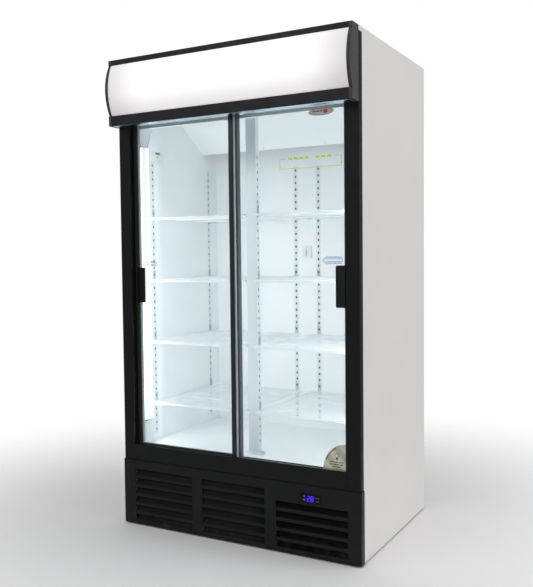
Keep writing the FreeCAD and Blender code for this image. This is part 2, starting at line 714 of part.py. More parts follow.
def canopy_rails():
    """Upper and lower aluminium extrusions that hold the diffuser."""
    x = CANOPY_HALF - CANOPY_CAP
    d = CANOPY_DEPTH
    low = obox(-x, x, -d - CANOPY_RAIL_STEP, -d + 1, CANOPY_BOTTOM, CANOPY_BOTTOM + CANOPY_RAIL_BOTTOM_H)
    high = obox(-x, x, -d - 2, -d + 2, HEIGHT - CANOPY_RAIL_TOP_H, HEIGHT)
    return group([low, high])


def canopy_diffuser():
    """Translucent sheet, bowed outwards, between the two rails."""
    x = CANOPY_HALF - CANOPY_CAP
    z0 = CANOPY_BOTTOM + CANOPY_RAIL_BOTTOM_H
    z1 = HEIGHT - CANOPY_RAIL_TOP_H
    middle = (z0 + z1) / 2
    front = FRONT - CANOPY_DEPTH
    inner = front + DIFFUSER_T
    bow = DIFFUSER_BULGE
    edges = [
        Part.LineSegment(V(-x, inner, z0), V(-x, front, z0)).toShape(),
        Part.Arc(V(-x, front, z0), V(-x, front - bow, middle), V(-x, front, z1)).toShape(),
        Part.LineSegment(V(-x, front, z1), V(-x, inner, z1)).toShape(),
        Part.Arc(V(-x, inner, z1), V(-x, inner - bow, middle), V(-x, inner, z0)).toShape()]
    return extruded(edges, V(2 * x, 0, 0))


def canopy_back():
    """Sheet tray of the light box: floor, back and roof."""
    x = CANOPY_HALF - CANOPY_CAP
    d = CANOPY_DEPTH
    floor = obox(-x, x, -d + 1, 0, CANOPY_BOTTOM, CANOPY_BOTTOM + 1.5)
    back = obox(-x, x, -1.5, 0, CANOPY_BOTTOM, HEIGHT)
    roof = obox(-x, x, -d + 2, 0, HEIGHT - 1.5, HEIGHT)
    return join([floor, back, roof])


def canopy_led_strips():
    x = CANOPY_HALF - CANOPY_CAP - 20
    return group([obox(-x, x, -9.5, -1.5, z, z + 16) for z in (1815, 1905)])


# ---------------------------------------------------------------- kick panel and controller
def kick_panel():
    """Lower front cover: wraps the corners, three columns of louvres and the controller cut-out."""
    t = 2.5
    proud = 4.0
    height = KICK_TOP - KICK_BOTTOM
    half = KICK_HALF
    outer = obox(-half, half, -proud, WRAP, KICK_BOTTOM, KICK_TOP)
    front_uprights = [e for e in outer.Edges if abs(e.Length - height) < 1 and e.Vertexes[0].Y < FRONT]
    outer = outer.makeFillet(CORNER_R, front_uprights)
    inner = obox(-half + t, half - t, -proud + t, WRAP + 1, KICK_BOTTOM - 1, KICK_TOP - t)
    inner_uprights = [e for e in inner.Edges if abs(e.Vertexes[0].Z - e.Vertexes[1].Z) > 200
                      and e.Vertexes[0].Y < FRONT + 5]
    inner = inner.makeFillet(CORNER_R - t, inner_uprights)
    panel = outer.cut(inner)
    holes = []
    blades = []
    for left, width, rows in LOUVRE_COLUMNS:
        for row in range(rows):
            z = LOUVRE_FIRST_Z + LOUVRE_PITCH * row
            holes.append(obox(left, left + width, -proud - 1, -proud + t + 1, z, z + LOUVRE_H))
            blades.append(louvre_blade(left, width, z, proud))
    body = CONTROL_BODY_W / 2 + 0.2
    holes.append(obox(CONTROL_X - body, CONTROL_X + body,
                      -proud - 1, 0, CONTROL_Z - 14.6, CONTROL_Z + 14.6))
    return join([panel.cut(group(holes))] + blades)


def louvre_blade(left, width, z, proud):
    """Slat that starts flush at the slot's lower edge and leans back to leave an air gap above."""
    section = [(-proud + 0.4, z - 0.5), (-proud + 2.4, z - 0.5), (9.5, z + 26), (8, z + 26.5)]
    points = [V(left, FRONT + o, height) for o, height in section]
    return extruded(polygon(points), V(width, 0, 0))


def controller_housing():
    """Digital thermostat: bezel over the panel, box body behind it, and four key pockets."""
    x = CONTROL_X
    z = CONTROL_Z
    bezel = obox(x - CONTROL_W / 2, x + CONTROL_W / 2, -7, -4, z - CONTROL_H / 2, z + CONTROL_H / 2)
    front_edges = [e for e in bezel.Edges if max(v.Y for v in e.Vertexes) < FRONT - 6.9]
    bezel = bezel.makeFillet(1.0, front_edges)
    body = obox(x - CONTROL_BODY_W / 2, x + CONTROL_BODY_W / 2, -4, 32, z - 14.4, z + 14.4)
    pockets = [obox(kx - KEY_W / 2 - 0.3, kx + KEY_W / 2 + 0.3, -9, -3.2, kz - KEY_H / 2 - 0.3,
                    kz + KEY_H / 2 + 0.3) for kx, kz in key_places()]
    window = obox(x - 35, x + 21, -8, -6.2, z - 12.5, z + 13.5)
    return join([bezel, body]).cut(group(pockets + [window]))


def key_places():
    return [(CONTROL_X + dx, CONTROL_Z + dz) for dz in reversed(KEY_Z) for dx in KEY_X]


def controller_key(x, z):
    key = obox(x - KEY_W / 2, x + KEY_W / 2, -7.6, -4.4, z - KEY_H / 2, z + KEY_H / 2)
    front_edges = [e for e in key.Edges if max(v.Y for v in e.Vertexes) < FRONT - 7.5]
    return key.makeFillet(0.5, front_edges)


# ---------------------------------------------------------------- machine compartment
def condenser_coil():
    """Finned block in its shroud, with a round fan opening in the shroud's back plate."""
    x0 = COND_FAN_X - 135
    x1 = COND_FAN_X + 135
    z0 = TRAY_BOTTOM + TRAY_T
    z1 = 282.0
    fins = moved(finned_coil(127.5, 46, 88, z0, z1, 7.5, 8), COND_FAN_X)
    plate = obox(x0, x1, 96, 98, z0, z1)
    hole = cylinder(COND_FAN_X, FRONT + 90, COND_FAN_Z, COND_FAN_R + 5, 20, V(0, 1, 0))
    cheek = obox(x1, x1 + 1.5, 44, 98, z0, z1)
    other = obox(x0 - 1.5, x0, 44, 98, z0, z1)
    return group([fins, plate.cut(hole), cheek, other])


def condenser_fan():
    rotor = fan_rotor(COND_FAN_R, 28, 30, 5, 28)
    rotor.rotate(V(0, 0, 0), V(1, 0, 0), -90)
    return moved(rotor, COND_FAN_X, FRONT + COND_FAN_O - 16, COND_FAN_Z)


def compressor():
    """Hermetic compressor shell with a domed lid, on a foot plate with four rubber grommets."""
    x = 20.0
    y = FRONT + 330
    z = TRAY_BOTTOM + TRAY_T
    grommets = [cylinder(x + dx, y + dy, z, 11, 16, V(0, 0, 1)) for dx in (-82, 82) for dy in (-62, 62)]
    plate = box(x - 98, x + 98, y - 78, y + 78, z + 16, z + 19)
    shell = cylinder(x, y, z + 19, 76, 165, V(0, 0, 1))
    rims = [e for e in shell.Edges if e.Closed and e.Vertexes[0].Z > z + 100]
    shell = shell.makeFillet(40, rims)
    terminal_box = box(x + 70, x + 104, y - 26, y + 26, z + 70, z + 130)
    return group(grommets + [join([plate, shell, terminal_box])])


def electrical_box():
    """Control gear case with the mains gland that reaches through a hole in the rear sheet."""
    z = TRAY_BOTTOM + TRAY_T
    rear = BACK - FRONT - SHEET
    case = obox(-550, -380, rear - 175, rear - 45, z, z + 130)
    edges = [e for e in case.Edges if abs(e.Vertexes[0].Z - e.Vertexes[-1].Z) > 100]
    case = case.makeFillet(4, edges)
    shank = cylinder(GLAND_X, FRONT + rear - 46, GLAND_Z, GLAND_R, 46 + SHEET, V(0, 1, 0))
    nut = cylinder(GLAND_X, FRONT + rear - 8, GLAND_Z, GLAND_R + 5, 7.5, V(0, 1, 0))
    return join([case, shank, nut])


# ---------------------------------------------------------------- build
def main():
    os.makedirs("parts", exist_ok=True)
    right = side_panel()
    save("side_panel_right", right)
    save("side_panel_left", mirrored(right))
    save("top_panel", top_panel())
    save("back_panel", back_panel())
    save("rear_grille", rear_grille())
    save("base_frame", base_frame())
    save("levelling_feet", levelling_feet())
    save("insulation", insulation())
    save("inner_liner", inner_liner())

    stile = frame_stile()
    save("frame_stile_right", stile)
    save("frame_stile_left", mirrored(stile))
    save("frame_head", frame_head())
    save("frame_sill", frame_sill())
    save("door_tracks", door_tracks())

    doors = [("right", RIGHT_DOOR_INNER, DOOR_OUTER, FRONT_TRACK_O),
             ("left", -DOOR_OUTER, LEFT_DOOR_INNER, REAR_TRACK_O)]
    for side, x0, x1, o0 in doors:
        save("door_" + side + "_frame", door_frame(x0, x1, o0))
        save("door_" + side + "_glass", door_glass(x0, x1, o0))
        for letter, x in zip("ab", roller_places(x0, x1)):
            save("door_" + side + "_roller_" + letter, door_roller(x, o0))
    save("door_right_handle",
         door_handle(HANDLE_IN, HANDLE_OUT, FRONT_TRACK_O, FRONT_HANDLE_PROUD, FRONT_HANDLE_TOP))
    save("door_left_handle",
         door_handle(-HANDLE_OUT, -HANDLE_IN, REAR_TRACK_O, REAR_HANDLE_PROUD, REAR_HANDLE_TOP))
    save("center_seal", center_seal())

    save("pilasters", pilasters())
    save("center_post", center_post())
    right_shelf = wire_shelf(POST_HALF + SHELF_POST_GAP + POST_X)
    left_shelf = mirrored(wire_shelf(POST_HALF + SHELF_POST_GAP - POST_X))
    for level, top in enumerate(SHELF_TOPS, 1):
        save("shelf_right_" + str(level), moved(right_shelf, 0, 0, top))
        save("shelf_left_" + str(level), moved(left_shelf, 0, 0, top))
    save("shelf_clips", shelf_clips())
    save("sensor_guard", sensor_guard())

    save("evaporator_cover", evaporator_cover())
    save("evaporator_fan_left", evaporator_fan(-EVAP_FAN_X))
    save("evaporator_fan_right", evaporator_fan(EVAP_FAN_X))
    save("fan_motors", fan_motors())
    save("evaporator_coil", evaporator_coil())
    save("drain_pan", drain_pan())
    save("lamp_lenses", lamp_lenses())
    save("lamp_leads", lamp_leads())

    save("canopy_end_caps", canopy_end_caps())
    save("canopy_rails", canopy_rails())
    save("canopy_diffuser", canopy_diffuser())
    save("canopy_back", canopy_back())
    save("canopy_led_strips", canopy_led_strips())

    save("kick_panel", kick_panel())
    save("controller_housing", controller_housing())
    for number, (x, z) in enumerate(key_places(), 1):
        save("key_" + str(number), controller_key(x, z))

    save("condenser_coil", condenser_coil())
    save("condenser_fan", condenser_fan())
    save("compressor", compressor())
    save("electrical_box", electrical_box())


main()
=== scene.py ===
"""Glass door merchandiser: finishes, fine pieces, lights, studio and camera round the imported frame."""
import math
import random

import bmesh
import bpy
from mathutils import Matrix, Vector


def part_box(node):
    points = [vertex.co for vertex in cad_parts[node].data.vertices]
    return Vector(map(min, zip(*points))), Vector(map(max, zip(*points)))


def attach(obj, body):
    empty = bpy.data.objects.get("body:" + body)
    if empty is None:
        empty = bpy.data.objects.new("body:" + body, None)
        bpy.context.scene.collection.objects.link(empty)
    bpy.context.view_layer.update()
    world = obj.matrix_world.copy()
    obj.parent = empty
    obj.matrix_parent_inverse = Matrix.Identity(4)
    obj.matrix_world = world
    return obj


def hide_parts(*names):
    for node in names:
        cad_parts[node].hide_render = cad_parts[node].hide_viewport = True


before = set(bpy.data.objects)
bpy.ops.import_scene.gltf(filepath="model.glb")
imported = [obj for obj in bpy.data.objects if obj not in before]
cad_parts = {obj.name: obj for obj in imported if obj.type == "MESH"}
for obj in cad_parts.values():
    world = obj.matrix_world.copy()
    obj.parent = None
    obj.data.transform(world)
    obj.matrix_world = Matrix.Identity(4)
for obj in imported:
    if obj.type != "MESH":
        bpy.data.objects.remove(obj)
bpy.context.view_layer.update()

MM = 0.001
RIGHT, LEFT, UP, DOWN = Vector((1, 0, 0)), Vector((-1, 0, 0)), Vector((0, 0, 1)), Vector((0, 0, -1))
OUTWARD, INWARD = Vector((0, -1, 0)), Vector((0, 1, 0))     # towards and away from a person at the doors


def screen(red, green, blue):
    """A colour as a display shows it, 0 to 255, in linear light."""
    def linear(value):
        value /= 255
        return value / 12.92 if value <= 0.04045 else ((value + 0.055) / 1.055) ** 2.4
    return (linear(red), linear(green), linear(blue), 1.0)


def shade(colour, factor):
    """The colour made darker or lighter by a factor."""
    return tuple(channel * factor for channel in colour[:3]) + (1.0,)


# ---------------------------------------------------------------- finishes
class Paint:
    """A Principled material whose colour, roughness and relief come from nodes in object space."""

    def __init__(self, name, sockets=None):
        self.material = bpy.data.materials.new(name)
        self.material.use_nodes = True
        self.tree = self.material.node_tree
        self.shader = self.tree.nodes["Principled BSDF"]
        self.place = self.tree.nodes.new("ShaderNodeTexCoord").outputs["Object"]
        for socket, value in (sockets or {}).items():
            self.shader.inputs[socket].default_value = value

    def node(self, kind, inputs=(), **settings):
        """A new node with its settings, and its inputs by number or name."""
        made = self.tree.nodes.new("ShaderNode" + kind)
        for key, value in settings.items():
            setattr(made, key, value)
        for key, value in dict(inputs).items():
            self.feed(made.inputs[key], value)
        return made

    def feed(self, socket, value):
        """Link value to the socket if it is another node's output, or else set it."""
        if isinstance(value, bpy.types.NodeSocket):
            self.tree.links.new(value, socket)
        else:
            socket.default_value = value

    def noise(self, scale, detail=3.0, stretch=(1, 1, 1)):
        """Noise from 0 to 1 with scale features per metre, multiplied along each axis by stretch."""
        where = self.node("Mapping", {"Vector": self.place, "Scale": stretch}).outputs[0]
        return self.node("TexNoise", {"Vector": where, "Scale": scale, "Detail": detail}).outputs[0]

    def axis(self, name):
        return self.node("SeparateXYZ", {0: self.place}).outputs[name]

    def calc(self, operation, first, second=0.0):
        return self.node("Math", {0: first, 1: second}, operation=operation).outputs[0]

    def ramp(self, value, low, high, at_low=0.0, at_high=1.0):
        """Eases from at_low to at_high while value goes from low to high."""
        inputs = {0: value, 1: low, 2: high, 3: at_low, 4: at_high}
        return self.node("MapRange", inputs, interpolation_type="SMOOTHSTEP").outputs[0]

    def mix(self, share, first, second):
        made = self.node("Mix", {0: share, 6: first, 7: second}, data_type="RGBA")
        return made.outputs[2]

    def colour(self, value):
        self.feed(self.shader.inputs["Base Color"], value)

    def mottle(self, colour, amount=0.04, scale=5.0, stretch=(1, 1, 1)):
        """The colour, a little lighter and darker in large soft patches."""
        share = self.ramp(self.noise(scale, 4.0, stretch), 0.3, 0.7)
        self.colour(self.mix(share, shade(colour, 1 - amount), shade(colour, 1 + amount)))

    def roughness(self, middle, spread=0.05, scale=25.0, stretch=(1, 1, 1)):
        value = self.ramp(self.noise(scale, 4.0, stretch), 0.25, 0.75, middle - spread, middle + spread)
        self.feed(self.shader.inputs["Roughness"], value)

    def relief(self, height, depth, strength=1.0):
        bump = self.node("Bump", {"Height": height, "Distance": depth, "Strength": strength})
        self.feed(self.shader.inputs["Normal"], bump.outputs[0])


def enamel(name, colour, rough=0.35, peel=0.06, specular=0.5):
    """Stoved enamel on sheet steel: slightly wavy gloss and a fine orange peel."""
    paint = Paint(name, {"Specular IOR Level": specular, "Coat Weight": 0.15, "Coat Roughness": 0.25})
    paint.mottle(colour, 0.015, 3.0)
    paint.roughness(rough, 0.05, 12.0)
    paint.relief(paint.calc("ADD", paint.noise(420.0, 2.0), paint.noise(2.2, 1.0)), 0.2 * MM, peel)
    return paint.material


def powder_coat(name, colour, rough=0.5, specular=0.18, grain=0.35):
    """Powder coat on aluminium: matt, with a fine even grain and faint rubbed patches."""
    paint = Paint(name, {"Specular IOR Level": specular})
    paint.mottle(colour, 0.12, 4.0)
    paint.roughness(rough, 0.08, 18.0)
    paint.relief(paint.noise(1100.0, 3.0), 0.12 * MM, grain)
    return paint.material


def moulded(name, colour, rough=0.45, specular=0.35, grain=0.25, scale=900.0):
    """Moulded plastic with a spark-eroded grain."""
    paint = Paint(name, {"Specular IOR Level": specular})
    paint.mottle(colour, 0.06, 9.0)
    paint.roughness(rough, 0.07, 40.0)
    paint.relief(paint.noise(scale, 4.0), 0.1 * MM, grain)
    return paint.material


def bare_metal(name, colour, rough=0.3, along=(1, 1, 1), streak=0.2):
    """Rolled or drawn metal with fine lines across the stretched axes."""
    paint = Paint(name, {"Metallic": 1.0})
    paint.mottle(colour, 0.08, 7.0)
    paint.roughness(rough, 0.08, 60.0, along)
    paint.relief(paint.noise(260.0, 5.0, along), 0.08 * MM, streak)
    return paint.material


def polished(name, colour):
    """Polished sheet: a soft mirror of what it faces."""
    paint = Paint(name, {"Metallic": 1.0})
    paint.mottle(colour, 0.02, 3.0)
    paint.roughness(0.2, 0.03, 12.0)
    return paint.material


def spangled(name, colour):
    """Hot-dip galvanised sheet: crystals of zinc in flat patches, each a little lighter or darker."""
    paint = Paint(name, {"Metallic": 0.85})
    cells = paint.node("TexVoronoi", {"Vector": paint.place, "Scale": 90.0}).outputs["Color"]
    grey = paint.node("SeparateColor", {0: cells}).outputs[0]
    paint.colour(paint.mix(grey, shade(colour, 0.82), shade(colour, 1.12)))
    paint.feed(paint.shader.inputs["Roughness"], paint.ramp(grey, 0.0, 1.0, 0.32, 0.52))
    paint.relief(grey, 0.05 * MM, 0.2)
    return paint.material


def clear_glass(name, tint):
    """Float glass: nearly clear face on, with more sheen at a glancing angle."""
    paint = Paint(name, {"IOR": 1.5, "Specular IOR Level": 0.5})
    facing = paint.node("LayerWeight", {"Blend": 0.25}).outputs["Fresnel"]
    smear = paint.ramp(paint.noise(6.0, 5.0), 0.45, 0.8, 0.0, 0.012)
    veil = paint.calc("ADD", paint.ramp(facing, 0.0, 0.9, 0.03, 0.42), smear)
    paint.feed(paint.shader.inputs["Alpha"], veil)
    paint.mottle(tint, 0.03, 2.0)
    paint.roughness(0.04, 0.02, 8.0)
    return paint.material


def lit_plastic(name, colour, glow, strength, rough=0.4):
    """A lens or diffuser lit evenly from inside."""
    paint = Paint(name, {"Emission Color": glow, "Emission Strength": strength})
    paint.mottle(colour, 0.02, 6.0)
    paint.roughness(rough, 0.05, 30.0)
    paint.relief(paint.noise(500.0, 2.0), 0.05 * MM, 0.15)
    return paint.material


def lamp_cover(name, colour, glow, bright, dim):
    """Lens of an upright lamp: brightest beside the door stile, fading towards its inner edge."""
    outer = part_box("lamp_lenses")[1].x
    paint = Paint(name, {"Emission Color": glow})
    paint.mottle(colour, 0.02, 6.0)
    paint.roughness(0.4, 0.05, 30.0)
    from_middle = paint.calc("ABSOLUTE", paint.axis("X"))
    strength = paint.ramp(from_middle, outer - 24 * MM, outer - 13 * MM, dim, bright)
    paint.feed(paint.shader.inputs["Emission Strength"], strength)
    paint.relief(paint.noise(500.0, 2.0), 0.05 * MM, 0.15)
    return paint.material


def diffuser_sheet(name, colour, strength):
    """Opal sheet over light strips: brightest along the middle, dimmer and pinker at its borders."""
    low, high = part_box("canopy_diffuser")
    paint = Paint(name, {"Specular IOR Level": 0.3})
    paint.mottle(colour, 0.01, 4.0)
    paint.roughness(0.35, 0.04, 30.0)
    from_end = paint.calc("SUBTRACT", high.x, paint.calc("ABSOLUTE", paint.axis("X")))
    along = paint.ramp(from_end, -60 * MM, 200 * MM, 0.45, 1.0)
    from_low = paint.ramp(paint.axis("Z"), low.z, low.z + 90 * MM, 0.7, 1.0)
    share = paint.calc("MULTIPLY", along, from_low)
    glow = paint.mix(share, screen(226, 214, 218), screen(255, 255, 255))
    paint.feed(paint.shader.inputs["Emission Color"], glow)
    paint.feed(paint.shader.inputs["Emission Strength"], paint.calc("MULTIPLY", share, strength))
    paint.relief(paint.noise(700.0, 2.0), 0.03 * MM, 0.1)
    return paint.material


def kick_enamel(name, colour):
    """The kick panel's enamel, with painted shade inside its louvres, deepest in the right column, and a
    little dusty towards the floor."""
    low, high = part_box("kick_panel")
    paint = Paint(name, {"Specular IOR Level": 0.2})
    from_middle = paint.calc("ABSOLUTE", paint.axis("X"))
    louvred = paint.ramp(from_middle, high.x - 54 * MM, high.x - 48 * MM, 1.0, 0.0)
    depth = paint.ramp(paint.axis("Y"), low.y + 0.5 * MM, low.y + 3.5 * MM)
    # Painted shade: inside the louvres the enamel is darkened and made metallic so the slots read as
    # shadowed, least on the left.
    shade_towards_right = paint.ramp(paint.axis("X"), 60 * MM, 180 * MM, 0.52, 0.9)
    louvre_painted_shade = paint.calc("MULTIPLY", paint.calc("MULTIPLY", louvred, depth), shade_towards_right)
    base = paint.mix(louvre_painted_shade, colour, shade(colour, 0.25))
    paint.feed(paint.shader.inputs["Metallic"], louvre_painted_shade)
    dust = paint.calc("MULTIPLY", paint.ramp(paint.axis("Z"), low.z, low.z + 120 * MM, 0.35, 0.0),
                      paint.ramp(paint.noise(30.0, 5.0), 0.4, 0.75))
    paint.colour(paint.mix(dust, base, screen(50, 49, 48)))
    paint.roughness(0.42, 0.07, 18.0)
    paint.relief(paint.noise(900.0, 3.0), 0.1 * MM, 0.3)
    return paint.material


def rigid_foam(name, colour):
    """Poured foam: matt, with open bubbles where it is cut."""
    paint = Paint(name)
    paint.mottle(colour, 0.1, 40.0)
    paint.roughness(0.9, 0.05, 60.0)
    bubbles = paint.node("TexVoronoi", {"Vector": paint.place, "Scale": 500.0}).outputs["Distance"]
    paint.relief(bubbles, 0.6 * MM, 0.6)
    return paint.material


def brush_pile(name, colour):
    """Woven pile: fine hairs across the strip."""
    paint = Paint(name, {"Sheen Weight": 0.4})
    paint.mottle(colour, 0.18, 900.0, (1, 0.1, 4))
    paint.roughness(0.8, 0.1, 200.0)
    paint.relief(paint.noise(1500.0, 2.0, (1, 0.1, 3)), 0.3 * MM, 0.5)
    return paint.material


def printed(name, colour, rough=0.5):
    """Ink or film, slightly uneven in its cover."""
    paint = Paint(name, {"Specular IOR Level": 0.3})
    paint.mottle(colour, 0.07, 120.0)
    paint.roughness(rough, 0.06, 80.0)
    return paint.material


def foil(name, colour):
    """Metallic label film with soft diagonal light and dark bands of painted reflection."""
    paint = Paint(name, {"Metallic": 0.25})
    # Painted reflection: diagonal bands of lighter and darker colour across the film.
    diagonal = paint.calc("ADD", paint.axis("X"), paint.axis("Z"))
    painted_reflection_wave = paint.calc("SINE", paint.calc("MULTIPLY", diagonal, 90.0))
    share = paint.ramp(paint.calc("ADD", painted_reflection_wave, paint.noise(40.0)), -0.6, 1.6)
    paint.colour(paint.mix(share, shade(colour, 0.8), shade(colour, 1.15)))
    paint.roughness(0.42, 0.06, 90.0)
    return paint.material


def door_coat(name, front_colour, rear_lit_colour):
    """Coat of the door frames, both satin: one black, with painted light that makes the rear door's frame
    lighter than the front one's where it stands in the front frame's shade.
    """
    paint = Paint(name, {"Specular IOR Level": 0.45})
    front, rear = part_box("door_right_frame")[1].y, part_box("door_left_frame")[0].y
    # Painted light: the colour lightens from the front door to the rear one, so the rear door's shaded frame
    # reads as lit.
    share = paint.ramp(paint.axis("Y"), front, rear)
    patches = paint.ramp(paint.noise(4.0), 0.3, 0.7, 0.0, 0.12)
    paint.colour(paint.mix(patches, paint.mix(share, front_colour, rear_lit_colour), front_colour))
    paint.roughness(0.36, 0.06, 18.0)
    paint.relief(paint.noise(1100.0, 3.0), 0.12 * MM, 0.2)
    return paint.material


BLACK = screen(20, 21, 22)
FINISH = {
    "shell_enamel": enamel("shell_enamel", screen(223, 218, 218), 0.5, 0.05, 0.2),
    "galvanised": spangled("galvanised", screen(196, 199, 203)),
    "foot_steel": bare_metal("foot_steel", screen(175, 176, 180), 0.35),
    "foam": rigid_foam("foam", screen(232, 214, 170)),
    "liner_enamel": enamel("liner_enamel", screen(248, 251, 252), 0.4, 0.05),
    "frame_black": powder_coat("frame_black", BLACK),
    "track_aluminium": bare_metal("track_aluminium", screen(205, 207, 211), 0.3, (0.02, 1, 1)),
    "door_black": door_coat("door_black", screen(24, 25, 28), screen(66, 67, 69)),
    "door_glass": clear_glass("door_glass", screen(196, 222, 228)),
    "handle_black": moulded("handle_black", screen(19, 20, 21), 0.5, 0.25),
    "roller_nylon": moulded("roller_nylon", screen(226, 226, 216), 0.4),
    "seal_brush": brush_pile("seal_brush", screen(196, 208, 212)),
    "pilaster_enamel": enamel("pilaster_enamel", screen(226, 235, 238), 0.38, 0.05),
    "shelf_wire": enamel("shelf_wire", screen(244, 247, 249), 0.25, 0.03),
    "clip_steel": bare_metal("clip_steel", screen(170, 178, 182), 0.35),
    "white_plastic": moulded("white_plastic", screen(232, 235, 238), 0.4),
    "coil_aluminium": bare_metal("coil_aluminium", screen(200, 203, 207), 0.35, (1, 1, 0.05)),
    "fan_black": moulded("fan_black", screen(26, 27, 29), 0.4),
    "motor_enamel": powder_coat("motor_enamel", screen(48, 50, 54), 0.4, 0.4),
    "lamp_lens": lamp_cover("lamp_lens", screen(232, 240, 246), screen(244, 251, 255), 2.0, 0.52),
    "cable_grey": moulded("cable_grey", screen(212, 219, 223), 0.55),
    "canopy_grey": moulded("canopy_grey", screen(62, 62, 68), 0.5, 0.3, 0.35, 700.0),
    "canopy_rail_aluminium": powder_coat("canopy_rail_aluminium", screen(28, 29, 34), 0.45, 0.22, 0.2),
    "canopy_diffuser": diffuser_sheet("canopy_diffuser", screen(226, 222, 224), 0.62),
    "led_strip": lit_plastic("led_strip", screen(238, 240, 240), screen(255, 252, 245), 1.0),
    "kick_enamel": kick_enamel("kick_enamel", BLACK),
    "controller_gloss": moulded("controller_gloss", screen(18, 18, 19), 0.4, 0.15, 0.1),
    "key_grey": moulded("key_grey", screen(58, 60, 62), 0.4, 0.4, 0.1),
    "compressor_enamel": powder_coat("compressor_enamel", screen(30, 31, 33), 0.3, 0.5, 0.15),
}
LOAD_LIME = printed("load_lime", screen(212, 236, 66))
ARROW_BLUE = printed("arrow_blue", screen(140, 162, 226))
ARROW_PALE = printed("arrow_pale", screen(158, 184, 204))
BAR_BLUE = printed("bar_blue", screen(176, 192, 232))
BAR_PALE = printed("bar_pale", screen(184, 202, 216))
LABEL_WHITE = printed("label_white", screen(236, 240, 240))
LABEL_GREY = printed("label_grey", screen(96, 104, 110))
KEY_PRINT = printed("key_print", screen(150, 154, 158))
LABEL_AMBER = printed("label_amber", screen(214, 200, 60))
CHAMPAGNE = foil("champagne_foil", screen(206, 204, 186))
BADGE_FILM = printed("badge_film", screen(224, 214, 206))
BADGE_RED = printed("badge_red", screen(206, 92, 84))
INK_DARK = printed("ink_dark", screen(70, 68, 64))
CONNECTOR_BLUE = moulded("connector_blue", screen(84, 96, 112), 0.5)
SCREW_ZINC = bare_metal("screw_zinc", screen(186, 194, 198), 0.3)
# Black rubber of the glazing beads, also used for the painted shade inside the slotted strips.
GASKET_RUBBER_AND_SLOT_SHADE = moulded("gasket_rubber", screen(24, 24, 25), 0.7, 0.2)
# One spacer in two greys: painted shade for its top and bottom bars, painted light for its uprights.
SPACER_PAINTED_SHADE = moulded("spacer_painted_shade", screen(112, 118, 122), 0.5)
SPACER_PAINTED_LIGHT = moulded("spacer_painted_light", screen(205, 210, 214), 0.5)
SOFFIT_METAL = polished("soffit_metal", screen(212, 232, 246))
DISPLAY_BLUE = lit_plastic("display_blue", screen(70, 30, 200), screen(80, 22, 255), 2.2)
DISPLAY_GLASS = moulded("display_glass", screen(12, 12, 16), 0.2, 0.2, 0.02)


